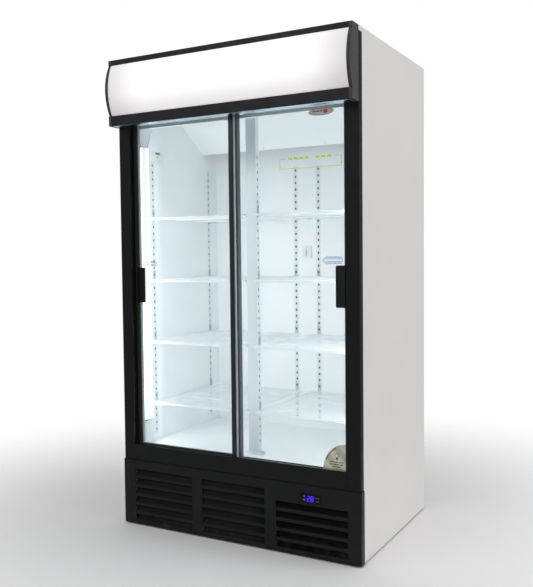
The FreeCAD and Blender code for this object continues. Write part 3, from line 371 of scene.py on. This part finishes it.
# ---------------------------------------------------------------- mesh building
class Sketch:
    """One mesh, put together from small solids, in metres in the cabinet's frame."""

    def __init__(self):
        self.mesh = bmesh.new()

    def box(self, low, high, round_off=0.0):
        """A block between two corners, its edges rounded by round_off."""
        low, high = Vector(low), Vector(high)
        place = Matrix.Translation((low + high) / 2) @ Matrix.Diagonal((*(high - low), 1.0))
        made = bmesh.ops.create_cube(self.mesh, size=1.0, matrix=place)
        if round_off:
            edges = list(dict.fromkeys(edge for vert in made["verts"] for edge in vert.link_edges))
            bmesh.ops.bevel(self.mesh, geom=edges, offset=round_off, segments=2, profile=0.5, affect="EDGES")

    def skin(self, rings, closed=False):
        """Faces between neighbouring rings of equally many points, capped unless the run is closed."""
        loops = [[self.mesh.verts.new(point) for point in ring] for ring in rings]
        following = loops[1:] + ([loops[0]] if closed else [])
        for near, far in zip(loops, following):
            for index in range(len(near)):
                after = (index + 1) % len(near)
                self.mesh.faces.new((near[index], near[after], far[after], far[index]))
        if not closed:
            self.mesh.faces.new(reversed(loops[0]))
            self.mesh.faces.new(loops[-1])

    def tube(self, points, radius, sides=8, closed=False):
        """A round wire along points."""
        points = [Vector(point) for point in points]
        last = len(points) - 1
        side = None
        rings = []
        for index, point in enumerate(points):
            before = points[index - 1] if index or closed else point
            after = points[(index + 1) % len(points)] if index < last or closed else point
            ahead = (after - before).normalized()
            side = ahead.orthogonal() if side is None else side
            side = (side - ahead * side.dot(ahead)).normalized()
            other = ahead.cross(side)
            turns = [2 * math.pi * step / sides for step in range(sides)]
            rings.append([point + (side * math.cos(a) + other * math.sin(a)) * radius for a in turns])
        self.skin(rings, closed)

    def lathe(self, profile, base, axis, sides=16):
        """Turns (radius, height) pairs round the axis through base."""
        turn = Vector(axis).to_track_quat("Z", "Y").to_matrix()
        rings = []
        for radius, height in profile:
            angles = [2 * math.pi * step / sides for step in range(sides)]
            rings.append([Vector(base) + turn @ Vector((radius * math.cos(a), radius * math.sin(a), height))
                          for a in angles])
        self.skin(rings)

    def screw(self, place, axis, radius=3 * MM):
        """A pan-head screw with a socket in its head."""
        r = radius
        self.lathe([(r, 0), (r, 0.2 * r), (0.85 * r, 0.42 * r), (0.55 * r, 0.5 * r), (0.36 * r, 0.5 * r),
                    (0.34 * r, 0.15 * r)], place, axis, 14)

    def flush_screw(self, place, axis, radius):
        """A countersunk screw: a thin flat face with a socket in its middle."""
        face = 0.03 * MM
        self.lathe([(radius, 0), (0.95 * radius, face), (0.45 * radius, face), (0.4 * radius, 0.3 * face)],
                   place, axis, 14)

    def plate(self, outline, thick, facing):
        """A flat plate: the outline, and the same outline moved by thick towards facing."""
        lift = Vector(facing) * thick
        self.skin([[Vector(point) for point in outline], [Vector(point) + lift for point in outline]])

    def ribbon(self, points, width, thick, facing, closed=False):
        """A flat printed line with mitred corners."""
        points = [Vector(point) for point in points]
        facing = Vector(facing)
        last = len(points) - 1
        rings = []
        for index, point in enumerate(points):
            before = points[index - 1] if index or closed else None
            after = points[(index + 1) % len(points)] if index < last or closed else None
            runs = [(point - before).normalized()] if before else []
            runs += [(after - point).normalized()] if after else []
            across = sum((facing.cross(run) for run in runs), Vector()).normalized()
            reach = width / 2 / max(0.3, across.dot(facing.cross(runs[0])))
            side, lift = across * reach, facing * thick
            rings.append([point - side, point + side, point + side + lift, point - side + lift])
        self.skin(rings, closed)

    def piece(self, name, material, body="cabinet", slot=None, replaces=(), smooth=35):
        """Turn the sketch into a named object that rides on a body."""
        bmesh.ops.recalc_face_normals(self.mesh, faces=self.mesh.faces)
        data = bpy.data.meshes.new(name)
        self.mesh.to_mesh(data)
        self.mesh.free()
        data.materials.append(material)
        data.polygons.foreach_set("use_smooth", [True] * len(data.polygons))
        data.set_sharp_from_angle(angle=math.radians(smooth))
        made = bpy.data.objects.new(name, data)
        bpy.context.scene.collection.objects.link(made)
        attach(made, body)
        if replaces:
            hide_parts(*replaces)
        return made


def solids(node):
    """Lowest and highest corner of each separate solid in a CAD node, from left to right."""
    mesh = bmesh.new()
    mesh.from_mesh(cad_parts[node].data)
    bmesh.ops.remove_doubles(mesh, verts=mesh.verts, dist=0.01 * MM)
    seen, boxes = set(), []
    for start in mesh.verts:
        if start in seen:
            continue
        seen.add(start)
        island = [start]
        for vert in island:
            for edge in vert.link_edges:
                other = edge.other_vert(vert)
                if other not in seen:
                    seen.add(other)
                    island.append(other)
        corners = [[vert.co[axis] for vert in island] for axis in range(3)]
        boxes.append((Vector(map(min, corners)), Vector(map(max, corners))))
    mesh.free()
    return sorted(boxes, key=lambda box: tuple(round(value, 4) for value in box[0]))


def arc(centre, first, second, start, end, steps):
    """Points on an ellipse: centre + first * cos + second * sin, from start to end in degrees."""
    angles = [math.radians(start + (end - start) * step / steps) for step in range(steps + 1)]
    return [Vector(centre) + Vector(first) * math.cos(a) + Vector(second) * math.sin(a) for a in angles]


# ---------------------------------------------------------------- shelves and their clips
WIRE_R = 1.4 * MM
ROD_R = 2.8 * MM
WIRE_PITCH = 13.1 * MM
SIDE_CLIPS_X = 450 * MM     # clips further than this from the middle hang on the side walls


def wire_shelf(node):
    """Welded shelf of round wires, bent down over a front rod, on cross rods and side rods."""
    low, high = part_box(node)
    sketch = Sketch()
    top = high.z - WIRE_R
    front = low.y + WIRE_R
    bend = 3.5 * MM
    count = round((high.x - low.x) / WIRE_PITCH)
    for index in range(count + 1):
        x = low.x + WIRE_R + (high.x - low.x - 2 * WIRE_R) * index / count
        corner = arc((x, front + bend, top - bend), (0, 0, bend), (0, -bend, 0), 0, 90, 4)
        sketch.tube([(x, high.y - WIRE_R, top)] + corner + [(x, front, low.z + WIRE_R)], WIRE_R, 6)
    under = top - WIRE_R - ROD_R + 0.4 * MM
    depth = high.y - front
    for share in (0.012, 0.34, 0.67, 0.985):
        y = front + depth * share + ROD_R
        sketch.tube([(low.x + WIRE_R, y, under), (high.x - WIRE_R, y, under)], ROD_R, 10)
    for x in (low.x + ROD_R, high.x - ROD_R):
        sketch.tube([(x, front + ROD_R, under), (x, high.y - ROD_R, under)], ROD_R, 10)
    lip = (front + WIRE_R + 1.8 * MM, low.z + 2.2 * MM)
    sketch.tube([(low.x + WIRE_R, *lip), (high.x - WIRE_R, *lip)], 2.2 * MM, 10)
    sketch.piece(node + "_wires", FINISH["shelf_wire"], slot="shelf_wire", replaces=[node])


def clip_wall(low, high):
    """Which way a clip reaches out of its wall, from where it is."""
    middle = (low + high) / 2
    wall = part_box("center_post")[1].x
    if abs(middle.x) > SIDE_CLIPS_X:
        return LEFT if middle.x > 0 else RIGHT
    if abs(middle.x) < wall:
        return RIGHT if middle.x > 0 else LEFT
    return OUTWARD


def shelf_clips():
    """Bent steel clips: an arch hooked into the slots, and a nose under the shelf's rod."""
    sketch = Sketch()
    wire = 1.3 * MM
    half = 4.6 * MM
    for low, high in solids("shelf_clips"):
        out = clip_wall(low, high)
        along = UP.cross(out)
        middle = (low + high) / 2
        reach = (high - low).dot(Vector(map(abs, out)))
        foot = middle - out * reach / 2
        foot.z = low.z + 3 * MM
        near, far = foot + out * wire, foot + out * (reach - wire)
        drop = -wire * UP
        top = near + UP * (high.z - foot.z - half - wire)
        nose = [far + drop - along * half * 0.4, far + drop + along * half * 0.4]
        loop = [near + drop * 2 + along * half] + arc(top, along * half, UP * half, 0, 180, 8)
        loop += [near + drop * 2 - along * half] + nose
        sketch.tube(loop, wire, 8, closed=True)
    sketch.piece("shelf_clip_wires", FINISH["clip_steel"], slot="clip_steel", replaces=["shelf_clips"])


# ---------------------------------------------------------------- doors
FILM = 0.15 * MM            # thickness of labels, and of ink on glass
THIN_INK = 0.1 * MM         # thickness of ink on a label


def ring(sketch, low, high, width, front, back, round_off=0.0):
    """A rectangular ring in the X-Z plane, its bars lying inside low..high."""
    bars = [((low.x, low.z), (high.x, low.z + width)), ((low.x, high.z - width), (high.x, high.z)),
            ((low.x, low.z + width), (low.x + width, high.z - width)),
            ((high.x - width, low.z + width), (high.x, high.z - width))]
    for (x0, z0), (x1, z1) in bars:
        sketch.box((x0, front, z0), (x1, back, z1), round_off)


def door_details(side):
    """Spacer between a door's panes, its uprights painted light and its bars painted in shade, glazing beads
    on both sides, and screws in the frame's corners.
    """
    body = "door_" + side
    outer, inner = sorted(solids(body + "_glass"), key=lambda box: box[0].y)
    low, high = outer
    side_w, bar_h = 4.5 * MM, 2.2 * MM
    uprights, bars = Sketch(), Sketch()
    for x in (low.x, high.x - side_w):
        uprights.box((x, high.y, low.z + bar_h), (x + side_w, inner[0].y, high.z - bar_h), 0.4 * MM)
    for z in (low.z, high.z - bar_h):
        bars.box((low.x, high.y, z), (high.x, inner[0].y, z + bar_h), 0.4 * MM)
    # Painted light and shade: the uprights get a light grey for their lit faces, the top and bottom bars a
    # darker grey for the shade they lie in.
    uprights.piece(body + "_spacer_uprights", SPACER_PAINTED_LIGHT, body)
    bars.piece(body + "_spacer_bars", SPACER_PAINTED_SHADE, body)
    bead = Sketch()
    bead_w, bead_t = 0.9 * MM, 0.8 * MM
    for front, back in ((outer[0].y - bead_t, outer[0].y), (inner[1].y, inner[1].y + bead_t)):
        ring(bead, outer[0], outer[1], bead_w, front, back, 0.2 * MM)
    bead.piece(body + "_glazing_beads", GASKET_RUBBER_AND_SLOT_SHADE, body)
    screws = Sketch()
    low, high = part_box(body + "_frame")
    inset = 9.5 * MM
    for x in (low.x + inset, high.x - inset):
        for z in (low.z + inset, high.z - inset):
            screws.screw((x, high.y, z), INWARD, 2.4 * MM)
    screws.piece(body + "_corner_screws", SCREW_ZINC, body)


def slide_arrow(side, tip_x, tip_z, height, length, line, bar):
    """Outline arrow that points to the middle of the doors, with blank bars over and under its shaft."""
    pane = min(box[0].y for box in solids(f"door_{side}_glass"))
    away = 1 if side == "right" else -1
    y = pane - 0.05 * MM
    half = height / 2
    neck, shaft = 0.55 * height, 0.16 * height

    def at(along, up):
        return (tip_x + away * along, y, tip_z + up)

    arrow = Sketch()
    outline = [at(0, 0), at(neck, half), at(neck, shaft), at(length, shaft), at(length, -shaft),
               at(neck, -shaft), at(neck, -half)]
    arrow.ribbon(outline, 2.2 * MM, FILM, OUTWARD, closed=True)
    arrow.piece(f"door_{side}_slide_arrow", line, f"door_{side}")
    bars = Sketch()
    count = 3
    first = 1.4 * neck
    step = (length - first) / count
    for up in (0.38 * height, -0.38 * height):
        for index in range(count):
            start = first + step * index
            bars.ribbon([at(start, up), at(start + 0.8 * step, up)], 0.18 * height, FILM, OUTWARD)
    bars.piece(f"door_{side}_arrow_bars", bar, f"door_{side}")


def oval_badge():
    """Oval plaque near the top of the right door's glass: a rim, plain bars and a round red spot."""
    low, high = solids("door_right_glass")[0]
    centre = Vector((high.x - 94 * MM, low.y, high.z - 39 * MM))
    thick, bar_length = 0.6 * MM, 11
    plaque, ink, spot = Sketch(), Sketch(), Sketch()
    plaque.plate(arc(centre, RIGHT * 52 * MM, UP * 14 * MM, 0, 360, 40)[:-1], thick, OUTWARD)
    plaque.piece("door_right_badge", BADGE_FILM, "door_right")
    face = centre + OUTWARD * thick
    rim = arc(face, RIGHT * 50.5 * MM, UP * 12.6 * MM, 0, 360, 40)[:-1]
    ink.ribbon(rim, 1.2 * MM, FILM, OUTWARD, closed=True)
    for start in (-34, -20, -6):
        bar = [face + RIGHT * (start + offset) * MM + UP * 2 * MM for offset in (0, bar_length)]
        ink.ribbon(bar, 4 * MM, FILM, OUTWARD)
    ink.piece("door_right_badge_ink", INK_DARK, "door_right")
    spot.plate(arc(face + RIGHT * 18 * MM, RIGHT * 9 * MM, UP * 8 * MM, 0, 360, 24)[:-1], FILM, OUTWARD)
    spot.piece("door_right_badge_spot", BADGE_RED, "door_right")


# Bars of the corner decal: each row's height over the corner, and where its bars start and end, in mm
# to the left of the corner.
DECAL_ROWS = (
    (35, ((68, 50), (46, 34), (30, 11))),
    (26, ((68, 56), (52, 30), (27, 12))),
    (17, ((58, 40), (37, 23))),
)


def corner_decal():
    """Quarter-round foil decal with a lamp pictogram and plain bars, in the right door's lower corner."""
    low, high = solids("door_right_glass")[0]
    corner = Vector((high.x, low.y - 0.03 * MM, low.z))
    wide, tall = 96 * MM, 106 * MM
    foil_film = Sketch()
    foil_film.plate([corner] + arc(corner, LEFT * wide, UP * tall, 0, 90, 24), FILM, OUTWARD)
    foil_film.piece("door_right_decal", CHAMPAGNE, "door_right")
    ink = Sketch()
    bar_height = 3.0 * MM
    face = corner + OUTWARD * FILM
    ink.ribbon(arc(face, LEFT * 0.94 * wide, UP * 0.94 * tall, 24, 62, 14), bar_height, THIN_INK, OUTWARD)
    bulb = face + LEFT * 38 * MM + UP * 60 * MM
    ink.ribbon(arc(bulb, RIGHT * 8 * MM, UP * 9 * MM, -55, 235, 18), 1.3 * MM, THIN_INK, OUTWARD)
    ink.plate(arc(bulb + DOWN * 11 * MM, RIGHT * 4.4 * MM, UP * 5 * MM, 0, 360, 16)[:-1], THIN_INK, OUTWARD)
    for up, bars in DECAL_ROWS:
        for start, end in bars:
            run = [face + LEFT * start * MM + UP * up * MM, face + LEFT * end * MM + UP * up * MM]
            ink.ribbon(run, bar_height, THIN_INK, OUTWARD)
    ink.piece("door_right_decal_ink", INK_DARK, "door_right")


def brush_seal():
    """Pile strip on the back of the right door's inner upright: a carrier and upright tufts."""
    low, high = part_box("center_seal")
    rng = random.Random(11)
    carrier = Sketch()
    carrier.box((low.x, low.y, low.z), (high.x, low.y + 2 * MM, high.z), 0.3 * MM)
    carrier.piece("center_seal_carrier", FINISH["track_aluminium"], "door_right", "track_aluminium")
    pile = Sketch()
    pitch, tuft, inset = 1.6 * MM, 1.3 * MM, 1.6 * MM
    for index in range(int((high.z - low.z) / pitch) - 1):
        z = low.z + pitch * index + 0.2 * MM
        tip = high.y - rng.uniform(0.2, 1.2) * MM
        lean = rng.uniform(-0.3, 0.3) * MM
        pile.box((low.x + inset + lean, low.y + inset, z), (high.x - inset + lean, tip, z + tuft))
    pile.piece("center_seal_pile", FINISH["seal_brush"], "door_right", "seal_brush", ["center_seal"])


# ---------------------------------------------------------------- cold space
COVER_SLOPE = 32.4          # degrees the evaporator cover falls towards the back


def post_tube():
    """Lowest and highest corner of the centre post's tube, its tallest solid."""
    return max(solids("center_post"), key=lambda box: box[1].z - box[0].z)


def load_line():
    """Printed outline on the back wall that marks how high goods may stand."""
    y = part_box("sensor_guard")[1].y
    x0, x1, z0, z1 = -144 * MM, 182 * MM, 1590 * MM, 1638 * MM
    gap, ink = 34 * MM, 0.2 * MM
    sketch = Sketch()
    outline = [(x0 + gap, y, z1), (x0, y, z1), (x0, y, z0), (x1, y, z0), (x1, y, z1), (x1 - gap, y, z1)]
    sketch.ribbon(outline, 3 * MM, ink, OUTWARD)
    bars = 8
    first, last = x0 + gap + 12 * MM, x1 - gap - 12 * MM
    step = (last - first) / bars
    for index in range(bars):
        if index != bars // 2:
            x = first + step * index
            sketch.ribbon([(x, y, z1), (x + 0.72 * step, y, z1)], 11 * MM, ink, OUTWARD)
    for x in (x0, x1):
        sketch.ribbon([(x, y, z0 + 8 * MM), (x, y, z0 + 18 * MM)], 7 * MM, 0.25 * MM, OUTWARD)
    sketch.piece("load_line_mark", LOAD_LIME)


def wall_label():
    """Small white film on the left wall with a grey bar and an amber triangle."""
    wall = -abs(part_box("lamp_lenses")[0].x)
    y0, y1, z0, z1 = -177 * MM, -88 * MM, 1592 * MM, 1645 * MM

    def outline(a, b, c, d):
        return [(wall, a, c), (wall, b, c), (wall, b, d), (wall, a, d)]

    film = Sketch()
    film.plate(outline(y0, y1, z0, z1), FILM, RIGHT)
    film.piece("wall_label", LABEL_WHITE)
    face = Vector((FILM, 0, 0))
    bar = Sketch()
    printed_bar = outline(-148 * MM, -114 * MM, z1 - 12 * MM, z1 - 3 * MM)
    bar.plate([Vector(point) + face for point in printed_bar], THIN_INK, RIGHT)
    bar.piece("wall_label_bar", LABEL_GREY)
    sign = Sketch()
    top = Vector((wall, -131 * MM, z1 - 14 * MM)) + face
    base = Vector((0, 8 * MM, -13 * MM))
    sign.plate([top, top + base, top + Vector((0, -base.y, base.z))], THIN_INK, RIGHT)
    sign.piece("wall_label_triangle", LABEL_AMBER)


def cold_space_screws():
    """Pairs of screws in the front of the centre post, and a row along the sloping evaporator cover."""
    tube = post_tube()
    small, large = 1.8 * MM, 3.4 * MM
    sketch = Sketch()
    for height, places in ((1602, (2, 8)), (1189, (2, 8)), (771, (2, 8)), (352, (0, 11))):
        for x in places:
            sketch.screw((x * MM, tube[0].y, height * MM), OUTWARD, small)
    rise = math.radians(COVER_SLOPE)
    normal = Vector((0, -math.sin(rise), -math.cos(rise)))
    uphill = Vector((0, -math.cos(rise), math.sin(rise)))
    back_edge = Vector((0, 245 * MM, 1671 * MM))
    for x in (-480, -160, 160, 480):
        sketch.screw(back_edge + uphill * 16 * MM + RIGHT * x * MM, normal, large)
    sketch.piece("cold_space_screws", SCREW_ZINC)


def post_foot_tab():
    """Bent tab in front of the centre post, screwed to the floor lining with two screws."""
    tube = post_tube()
    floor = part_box("center_post")[0].z
    back, front, thick = tube[0].y, tube[0].y - 26 * MM, 1.5 * MM
    x0, x1 = 4 * MM, 62 * MM
    section = [(back, floor), (front, floor), (front, floor + thick), (back - thick, floor + thick),
               (back - thick, floor + 9 * MM), (back, floor + 9 * MM)]
    tab = Sketch()
    tab.skin([[Vector((x, y, z)) for y, z in section] for x in (x0, x1)])
    tab.piece("post_foot_tab", FINISH["pilaster_enamel"], slot="pilaster_enamel")
    screws = Sketch()
    for x in (15 * MM, 49 * MM):
        screws.screw((x, front + 9 * MM, floor + thick), UP, 3.2 * MM)
    screws.piece("post_foot_screws", FINISH["clip_steel"])


def lamp_fittings():
    """End caps of both lamps, and the dark cable connector near each lamp's upper end."""
    caps, plugs = Sketch(), Sketch()
    cap = 5 * MM
    for low, high in solids("lamp_lenses"):
        sign = 1 if low.x < 0 else -1
        wall = low.x if low.x < 0 else high.x
        section = [(0, low.y), (22, low.y), (25, low.y + 6 * MM), (25, low.y + 20 * MM),
                   (9, high.y), (0, high.y)]
        for base in (low.z - cap, high.z):
            caps.plate([(wall + sign * out * MM, y, base) for out, y in section], cap, UP)
        plugs.lathe([(3.4 * MM, 0), (3.4 * MM, 1.6 * MM), (2.6 * MM, 2.6 * MM), (1.2 * MM, 3.0 * MM)],
                    (wall + sign * 10.5 * MM, high.y - 3 * MM, high.z - 12 * MM), (sign, 0.4, 0), 16)
    caps.piece("lamp_end_caps", FINISH["white_plastic"], slot="white_plastic")
    plugs.piece("lamp_connectors", CONNECTOR_BLUE)


def slot_shadows():
    """Painted shade: dark sheets inside the slotted strips and the centre post, standing in for the shade
    seen through their slots.
    """
    sketch = Sketch()
    inset, thick, reach = 1.5 * MM, 0.3 * MM, 7 * MM
    for low, high in solids("pilasters"):
        size = high - low
        low, high = low.copy(), high.copy()
        if size.x > size.y:
            centre = (low.x + high.x) / 2
            low = Vector((centre - reach, low.y + inset, low.z))
            high = Vector((centre + reach, low.y + thick, high.z))
        else:
            sign = 1 if low.x > 0 else -1
            face = (low.x if sign > 0 else high.x) + sign * inset
            low.x, high.x = sorted((face, face + sign * thick))
            centre = (low.y + high.y) / 2
            low.y, high.y = centre - reach, centre + reach
        sketch.box(low, high)
    low, high = post_tube()
    middle, half = (low.y + high.y) / 2, 10 * MM
    for face, sign in ((low.x, 1), (high.x, -1)):
        x0, x1 = sorted((face + sign * 1.6 * MM, face + sign * 1.9 * MM))
        sketch.box((x0, middle - half, low.z), (x1, middle + half, high.z))
    # These sheets are painted shade, in the glazing beads' black.
    sketch.piece("slot_painted_shade", GASKET_RUBBER_AND_SLOT_SHADE)


# ---------------------------------------------------------------- controller
SEGMENTS = {"2": "abged", "8": "abcdefg"}


def seven_segment(sketch, figure, left, base, width, height, y):
    """One figure of a seven-segment display, leaning a little, from short bars."""
    bar = 0.17 * width
    right, top, middle = left + width, base + height, base + height / 2
    ends = {"a": ((left, top), (right, top)), "b": ((right, top), (right, middle)),
            "c": ((right, middle), (right, base)), "d": ((left, base), (right, base)),
            "e": ((left, middle), (left, base)), "f": ((left, top), (left, middle)),
            "g": ((left, middle), (right, middle))}
    for name in SEGMENTS[figure]:
        (x0, z0), (x1, z1) = ends[name]
        run = Vector((x1 - x0, 0, z1 - z0))
        trim = run.normalized() * bar * 0.55
        start = Vector((x0, y, z0)) + trim
        end = Vector((x0, y, z0)) + run - trim
        lean = [Vector((0.12 * (p.z - base), 0, 0)) for p in (start, end)]
        sketch.ribbon([start + lean[0], end + lean[1]], bar, 0.2 * MM, OUTWARD)


def controller_face():
    """Display window with two figures and two pilot lights."""
    low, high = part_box("controller_housing")
    middle = (low + high) / 2
    window_y = low.y + 0.8 * MM
    face = window_y - 0.4 * MM
    glass, lit = Sketch(), Sketch()
    glass.box((middle.x - 35 * MM, face, middle.z - 12.5 * MM),
              (middle.x + 21 * MM, window_y, middle.z + 13.5 * MM), 0.15 * MM)
    glass.piece("controller_window", DISPLAY_GLASS)
    first, pitch = -12, 14.5
    for index, figure in enumerate("28"):
        left = middle.x + (first + pitch * index) * MM
        seven_segment(lit, figure, left, middle.z - 9.5 * MM, 10 * MM, 20 * MM, face)
    for z in (middle.z + 8 * MM, middle.z - 5 * MM):
        lit.lathe([(2.7 * MM, 0), (2.7 * MM, 0.15 * MM), (1.6 * MM, 0.25 * MM)],
                  (middle.x - 25 * MM, face, z), OUTWARD, 16)
    lit.piece("controller_figures", DISPLAY_BLUE)


def key_marks():
    """Marks raised on the four keys: an arrow up, an arrow down and two open rings."""
    size, raised = 1.4 * MM, 0.12 * MM
    for number in range(1, 5):
        low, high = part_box(f"key_{number}")
        centre = (low + high) / 2
        centre.y = low.y
        mark = Sketch()
        if number in (1, 3):
            tip = 1 if number == 1 else -1
            outline = [centre + RIGHT * size - UP * tip * size * 0.6, centre + UP * tip * size * 0.8,
                       centre - RIGHT * size - UP * tip * size * 0.6]
            mark.ribbon(outline, 0.5 * MM, raised, OUTWARD)
        else:
            mark.ribbon(arc(centre, RIGHT * size, UP * size, 0, 300, 12), 0.45 * MM, raised, OUTWARD)
        mark.piece(f"key_{number}_mark", KEY_PRINT, f"key_{number}")


# ---------------------------------------------------------------- cabinet outside
def outside_screws():
    """Countersunk fixings, flush with the rear skin and the rear grille."""
    sketch = Sketch()
    low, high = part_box("back_panel")
    grille_low, grille_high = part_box("rear_grille")
    inset, rows = 14 * MM, 7
    skin_head, grille_head = 3.6 * MM, 4.2 * MM
    for x in (low.x + inset, high.x - inset):
        for row in range(rows):
            z = low.z + inset + (high.z - low.z - 2 * inset) * row / (rows - 1)
            sketch.flush_screw((x, high.y, z), INWARD, skin_head)
        for z in (grille_low.z + inset, (grille_low.z + grille_high.z) / 2, grille_high.z - inset):
            sketch.flush_screw((x, grille_high.y, z), INWARD, grille_head)
    sketch.piece("outside_screws", SCREW_ZINC)


def canopy_soffit():
    """Polished sheet under the light box, between its end cheeks, with both long edges folded up."""
    low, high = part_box("canopy_back")
    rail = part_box("canopy_rails")
    fold, thick = 0.8 * MM, 0.6 * MM
    front, back, under = rail[0].y + 8 * MM, high.y - 1 * MM, low.z - thick
    section = [(front, low.z), (front, under + fold / 2), (front + fold, under), (back - fold, under),
               (back, under + fold / 2), (back, low.z)]
    sheet = Sketch()
    sheet.skin([[Vector((x, y, z)) for y, z in section] for x in (low.x + 1 * MM, high.x - 1 * MM)])
    sheet.piece("canopy_soffit", SOFFIT_METAL)


# ---------------------------------------------------------------- carried-over CAD nodes
# How far the edges of the visible CAD nodes are rounded, in mm.
BEVELS = {
    "frame_stile_left": 1.0, "frame_stile_right": 1.0, "frame_head": 0.8, "frame_sill": 0.8,
    "door_left_frame": 0.8, "door_right_frame": 0.8, "door_left_handle": 0.6, "door_right_handle": 0.6,
    "canopy_end_caps": 1.6, "canopy_rails": 1.2, "kick_panel": 0.5, "center_post": 0.8,
    "side_panel_left": 0.3, "side_panel_right": 0.3, "top_panel": 0.3, "controller_housing": 0.3,
    "electrical_box": 1.0, "lamp_lenses": 0.8,
}


def finish_cad_nodes():
    """Give every CAD node its finish, and the visible ones softened edges."""
    for name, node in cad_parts.items():
        for index, material in enumerate(node.data.materials):
            node.data.materials[index] = FINISH[material.name.split(".")[0]]
        if name in BEVELS:
            weld = node.modifiers.new("weld", "WELD")
            weld.merge_threshold = 0.005 * MM
            bevel = node.modifiers.new("edges", "BEVEL")
            bevel.width = BEVELS[name] * MM
            bevel.segments = 2
            bevel.limit_method = "ANGLE"
            bevel.angle_limit = math.radians(40)
            bevel.harden_normals = True


# ---------------------------------------------------------------- studio and camera
def camera():
    """Camera to the right of the cabinet at chest height, looking slightly down and to the left."""
    yaw, pitch, roll = (math.radians(angle) for angle in (28.847, -2.711, -0.599))
    ahead = Vector((-math.sin(yaw) * math.cos(pitch), math.cos(yaw) * math.cos(pitch), math.sin(pitch)))
    right = Vector((math.cos(yaw), math.sin(yaw), 0))
    up = right.cross(ahead)
    tilted_right = right * math.cos(roll) + up * math.sin(roll)
    tilted_up = up * math.cos(roll) - right * math.sin(roll)
    data = bpy.data.cameras.new("camera")
    data.lens = 47.45
    data.clip_end = 100.0
    made = bpy.data.objects.new("camera", data)
    made.matrix_world = Matrix.Translation((1.6245, -2.9946, 1.165)) @ Matrix(
        (tilted_right, tilted_up, -ahead)).transposed().to_4x4()
    bpy.context.scene.collection.objects.link(made)
    bpy.context.scene.camera = made


def softbox(name, place, target, width, height, power, colour=(1, 1, 1)):
    """A large area light that aims at target."""
    data = bpy.data.lights.new(name, "AREA")
    data.shape = "RECTANGLE"
    data.size, data.size_y = width, height
    data.energy = power
    data.color = colour
    made = bpy.data.objects.new(name, data)
    made.location = place
    made.rotation_euler = (Vector(target) - Vector(place)).to_track_quat("-Z", "Y").to_euler()
    made.visible_camera = False
    bpy.context.scene.collection.objects.link(made)


def studio():
    """Plain pale floor, an even pale surround, and soft light from the front, the right and above."""
    floor = bmesh.new()
    bmesh.ops.create_grid(floor, x_segments=2, y_segments=2, size=20.0)
    data = bpy.data.meshes.new("floor")
    floor.to_mesh(data)
    floor.free()
    paint = Paint("studio_floor", {"Specular IOR Level": 0.2})
    paint.mottle(screen(246, 246, 246), 0.01, 0.8)
    paint.roughness(0.8, 0.03, 3.0)
    reach = paint.node("VectorMath", {0: paint.place}, operation="LENGTH").outputs["Value"]
    paint.feed(paint.shader.inputs["Alpha"], paint.ramp(reach, 0.8, 2.6, 1.0, 0.0))
    data.materials.append(paint.material)
    made = bpy.data.objects.new("floor", data)
    bpy.context.scene.collection.objects.link(made)

    world = bpy.data.worlds.new("studio")
    world.use_nodes = True
    nodes, links = world.node_tree.nodes, world.node_tree.links
    background = nodes["Background"]
    seen = nodes.new("ShaderNodeLightPath").outputs["Is Camera Ray"]
    strength = nodes.new("ShaderNodeMapRange")
    links.new(seen, strength.inputs["Value"])
    strength.inputs["To Min"].default_value = 0.42
    strength.inputs["To Max"].default_value = 1.0
    links.new(strength.outputs[0], background.inputs["Strength"])
    background.inputs["Color"].default_value = (1, 1, 1, 1)
    bpy.context.scene.world = world

    softbox("light_right", (4.2, 0.4, 2.0), (0.5, 0.1, 1.0), 3.0, 3.0, 75)
    softbox("light_front", (-1.6, -4.2, 3.4), (0, -0.3, 1.0), 3.0, 2.0, 35)
    softbox("light_top", (0, 0, 4.6), (0, 0, 0), 3.0, 3.0, 40)


def cold_space_light():
    """Light of the lamps in the cold space, which their lenses alone would give too noisily."""
    tint = (0.975, 1.0, 1.0)
    for side, power in ((-1, 1.45), (1, 1.3)):
        place, target = (side * 0.478, -0.235, 1.05), (-side * 0.2, 0.3, 1.05)
        softbox(f"lamp_light_{side}", place, target, 0.02, 1.36, power, tint)
    softbox("cold_space_fill", (-0.06, -0.262, 0.96), (-0.1, 1, 0.9), 0.8, 1.15, 1.18, tint)


camera()
studio()
cold_space_light()
for side in ("left", "right"):
    for level in range(1, 5):
        wire_shelf(f"shelf_{side}_{level}")
    door_details(side)
slide_arrow("right", 401 * MM, 1150 * MM, 30 * MM, 82 * MM, ARROW_BLUE, BAR_BLUE)
slide_arrow("left", -398 * MM, 1141 * MM, 22 * MM, 54 * MM, ARROW_PALE, BAR_PALE)
shelf_clips()
oval_badge()
corner_decal()
brush_seal()
load_line()
wall_label()
cold_space_screws()
post_foot_tab()
lamp_fittings()
slot_shadows()
controller_face()
key_marks()
outside_screws()
canopy_soffit()
finish_cad_nodes()
bpy.context.scene.view_settings.view_transform = "Standard"
bpy.context.scene.cycles.transparent_max_bounces = 32
bpy.context.scene.cycles.diffuse_bounces = 6
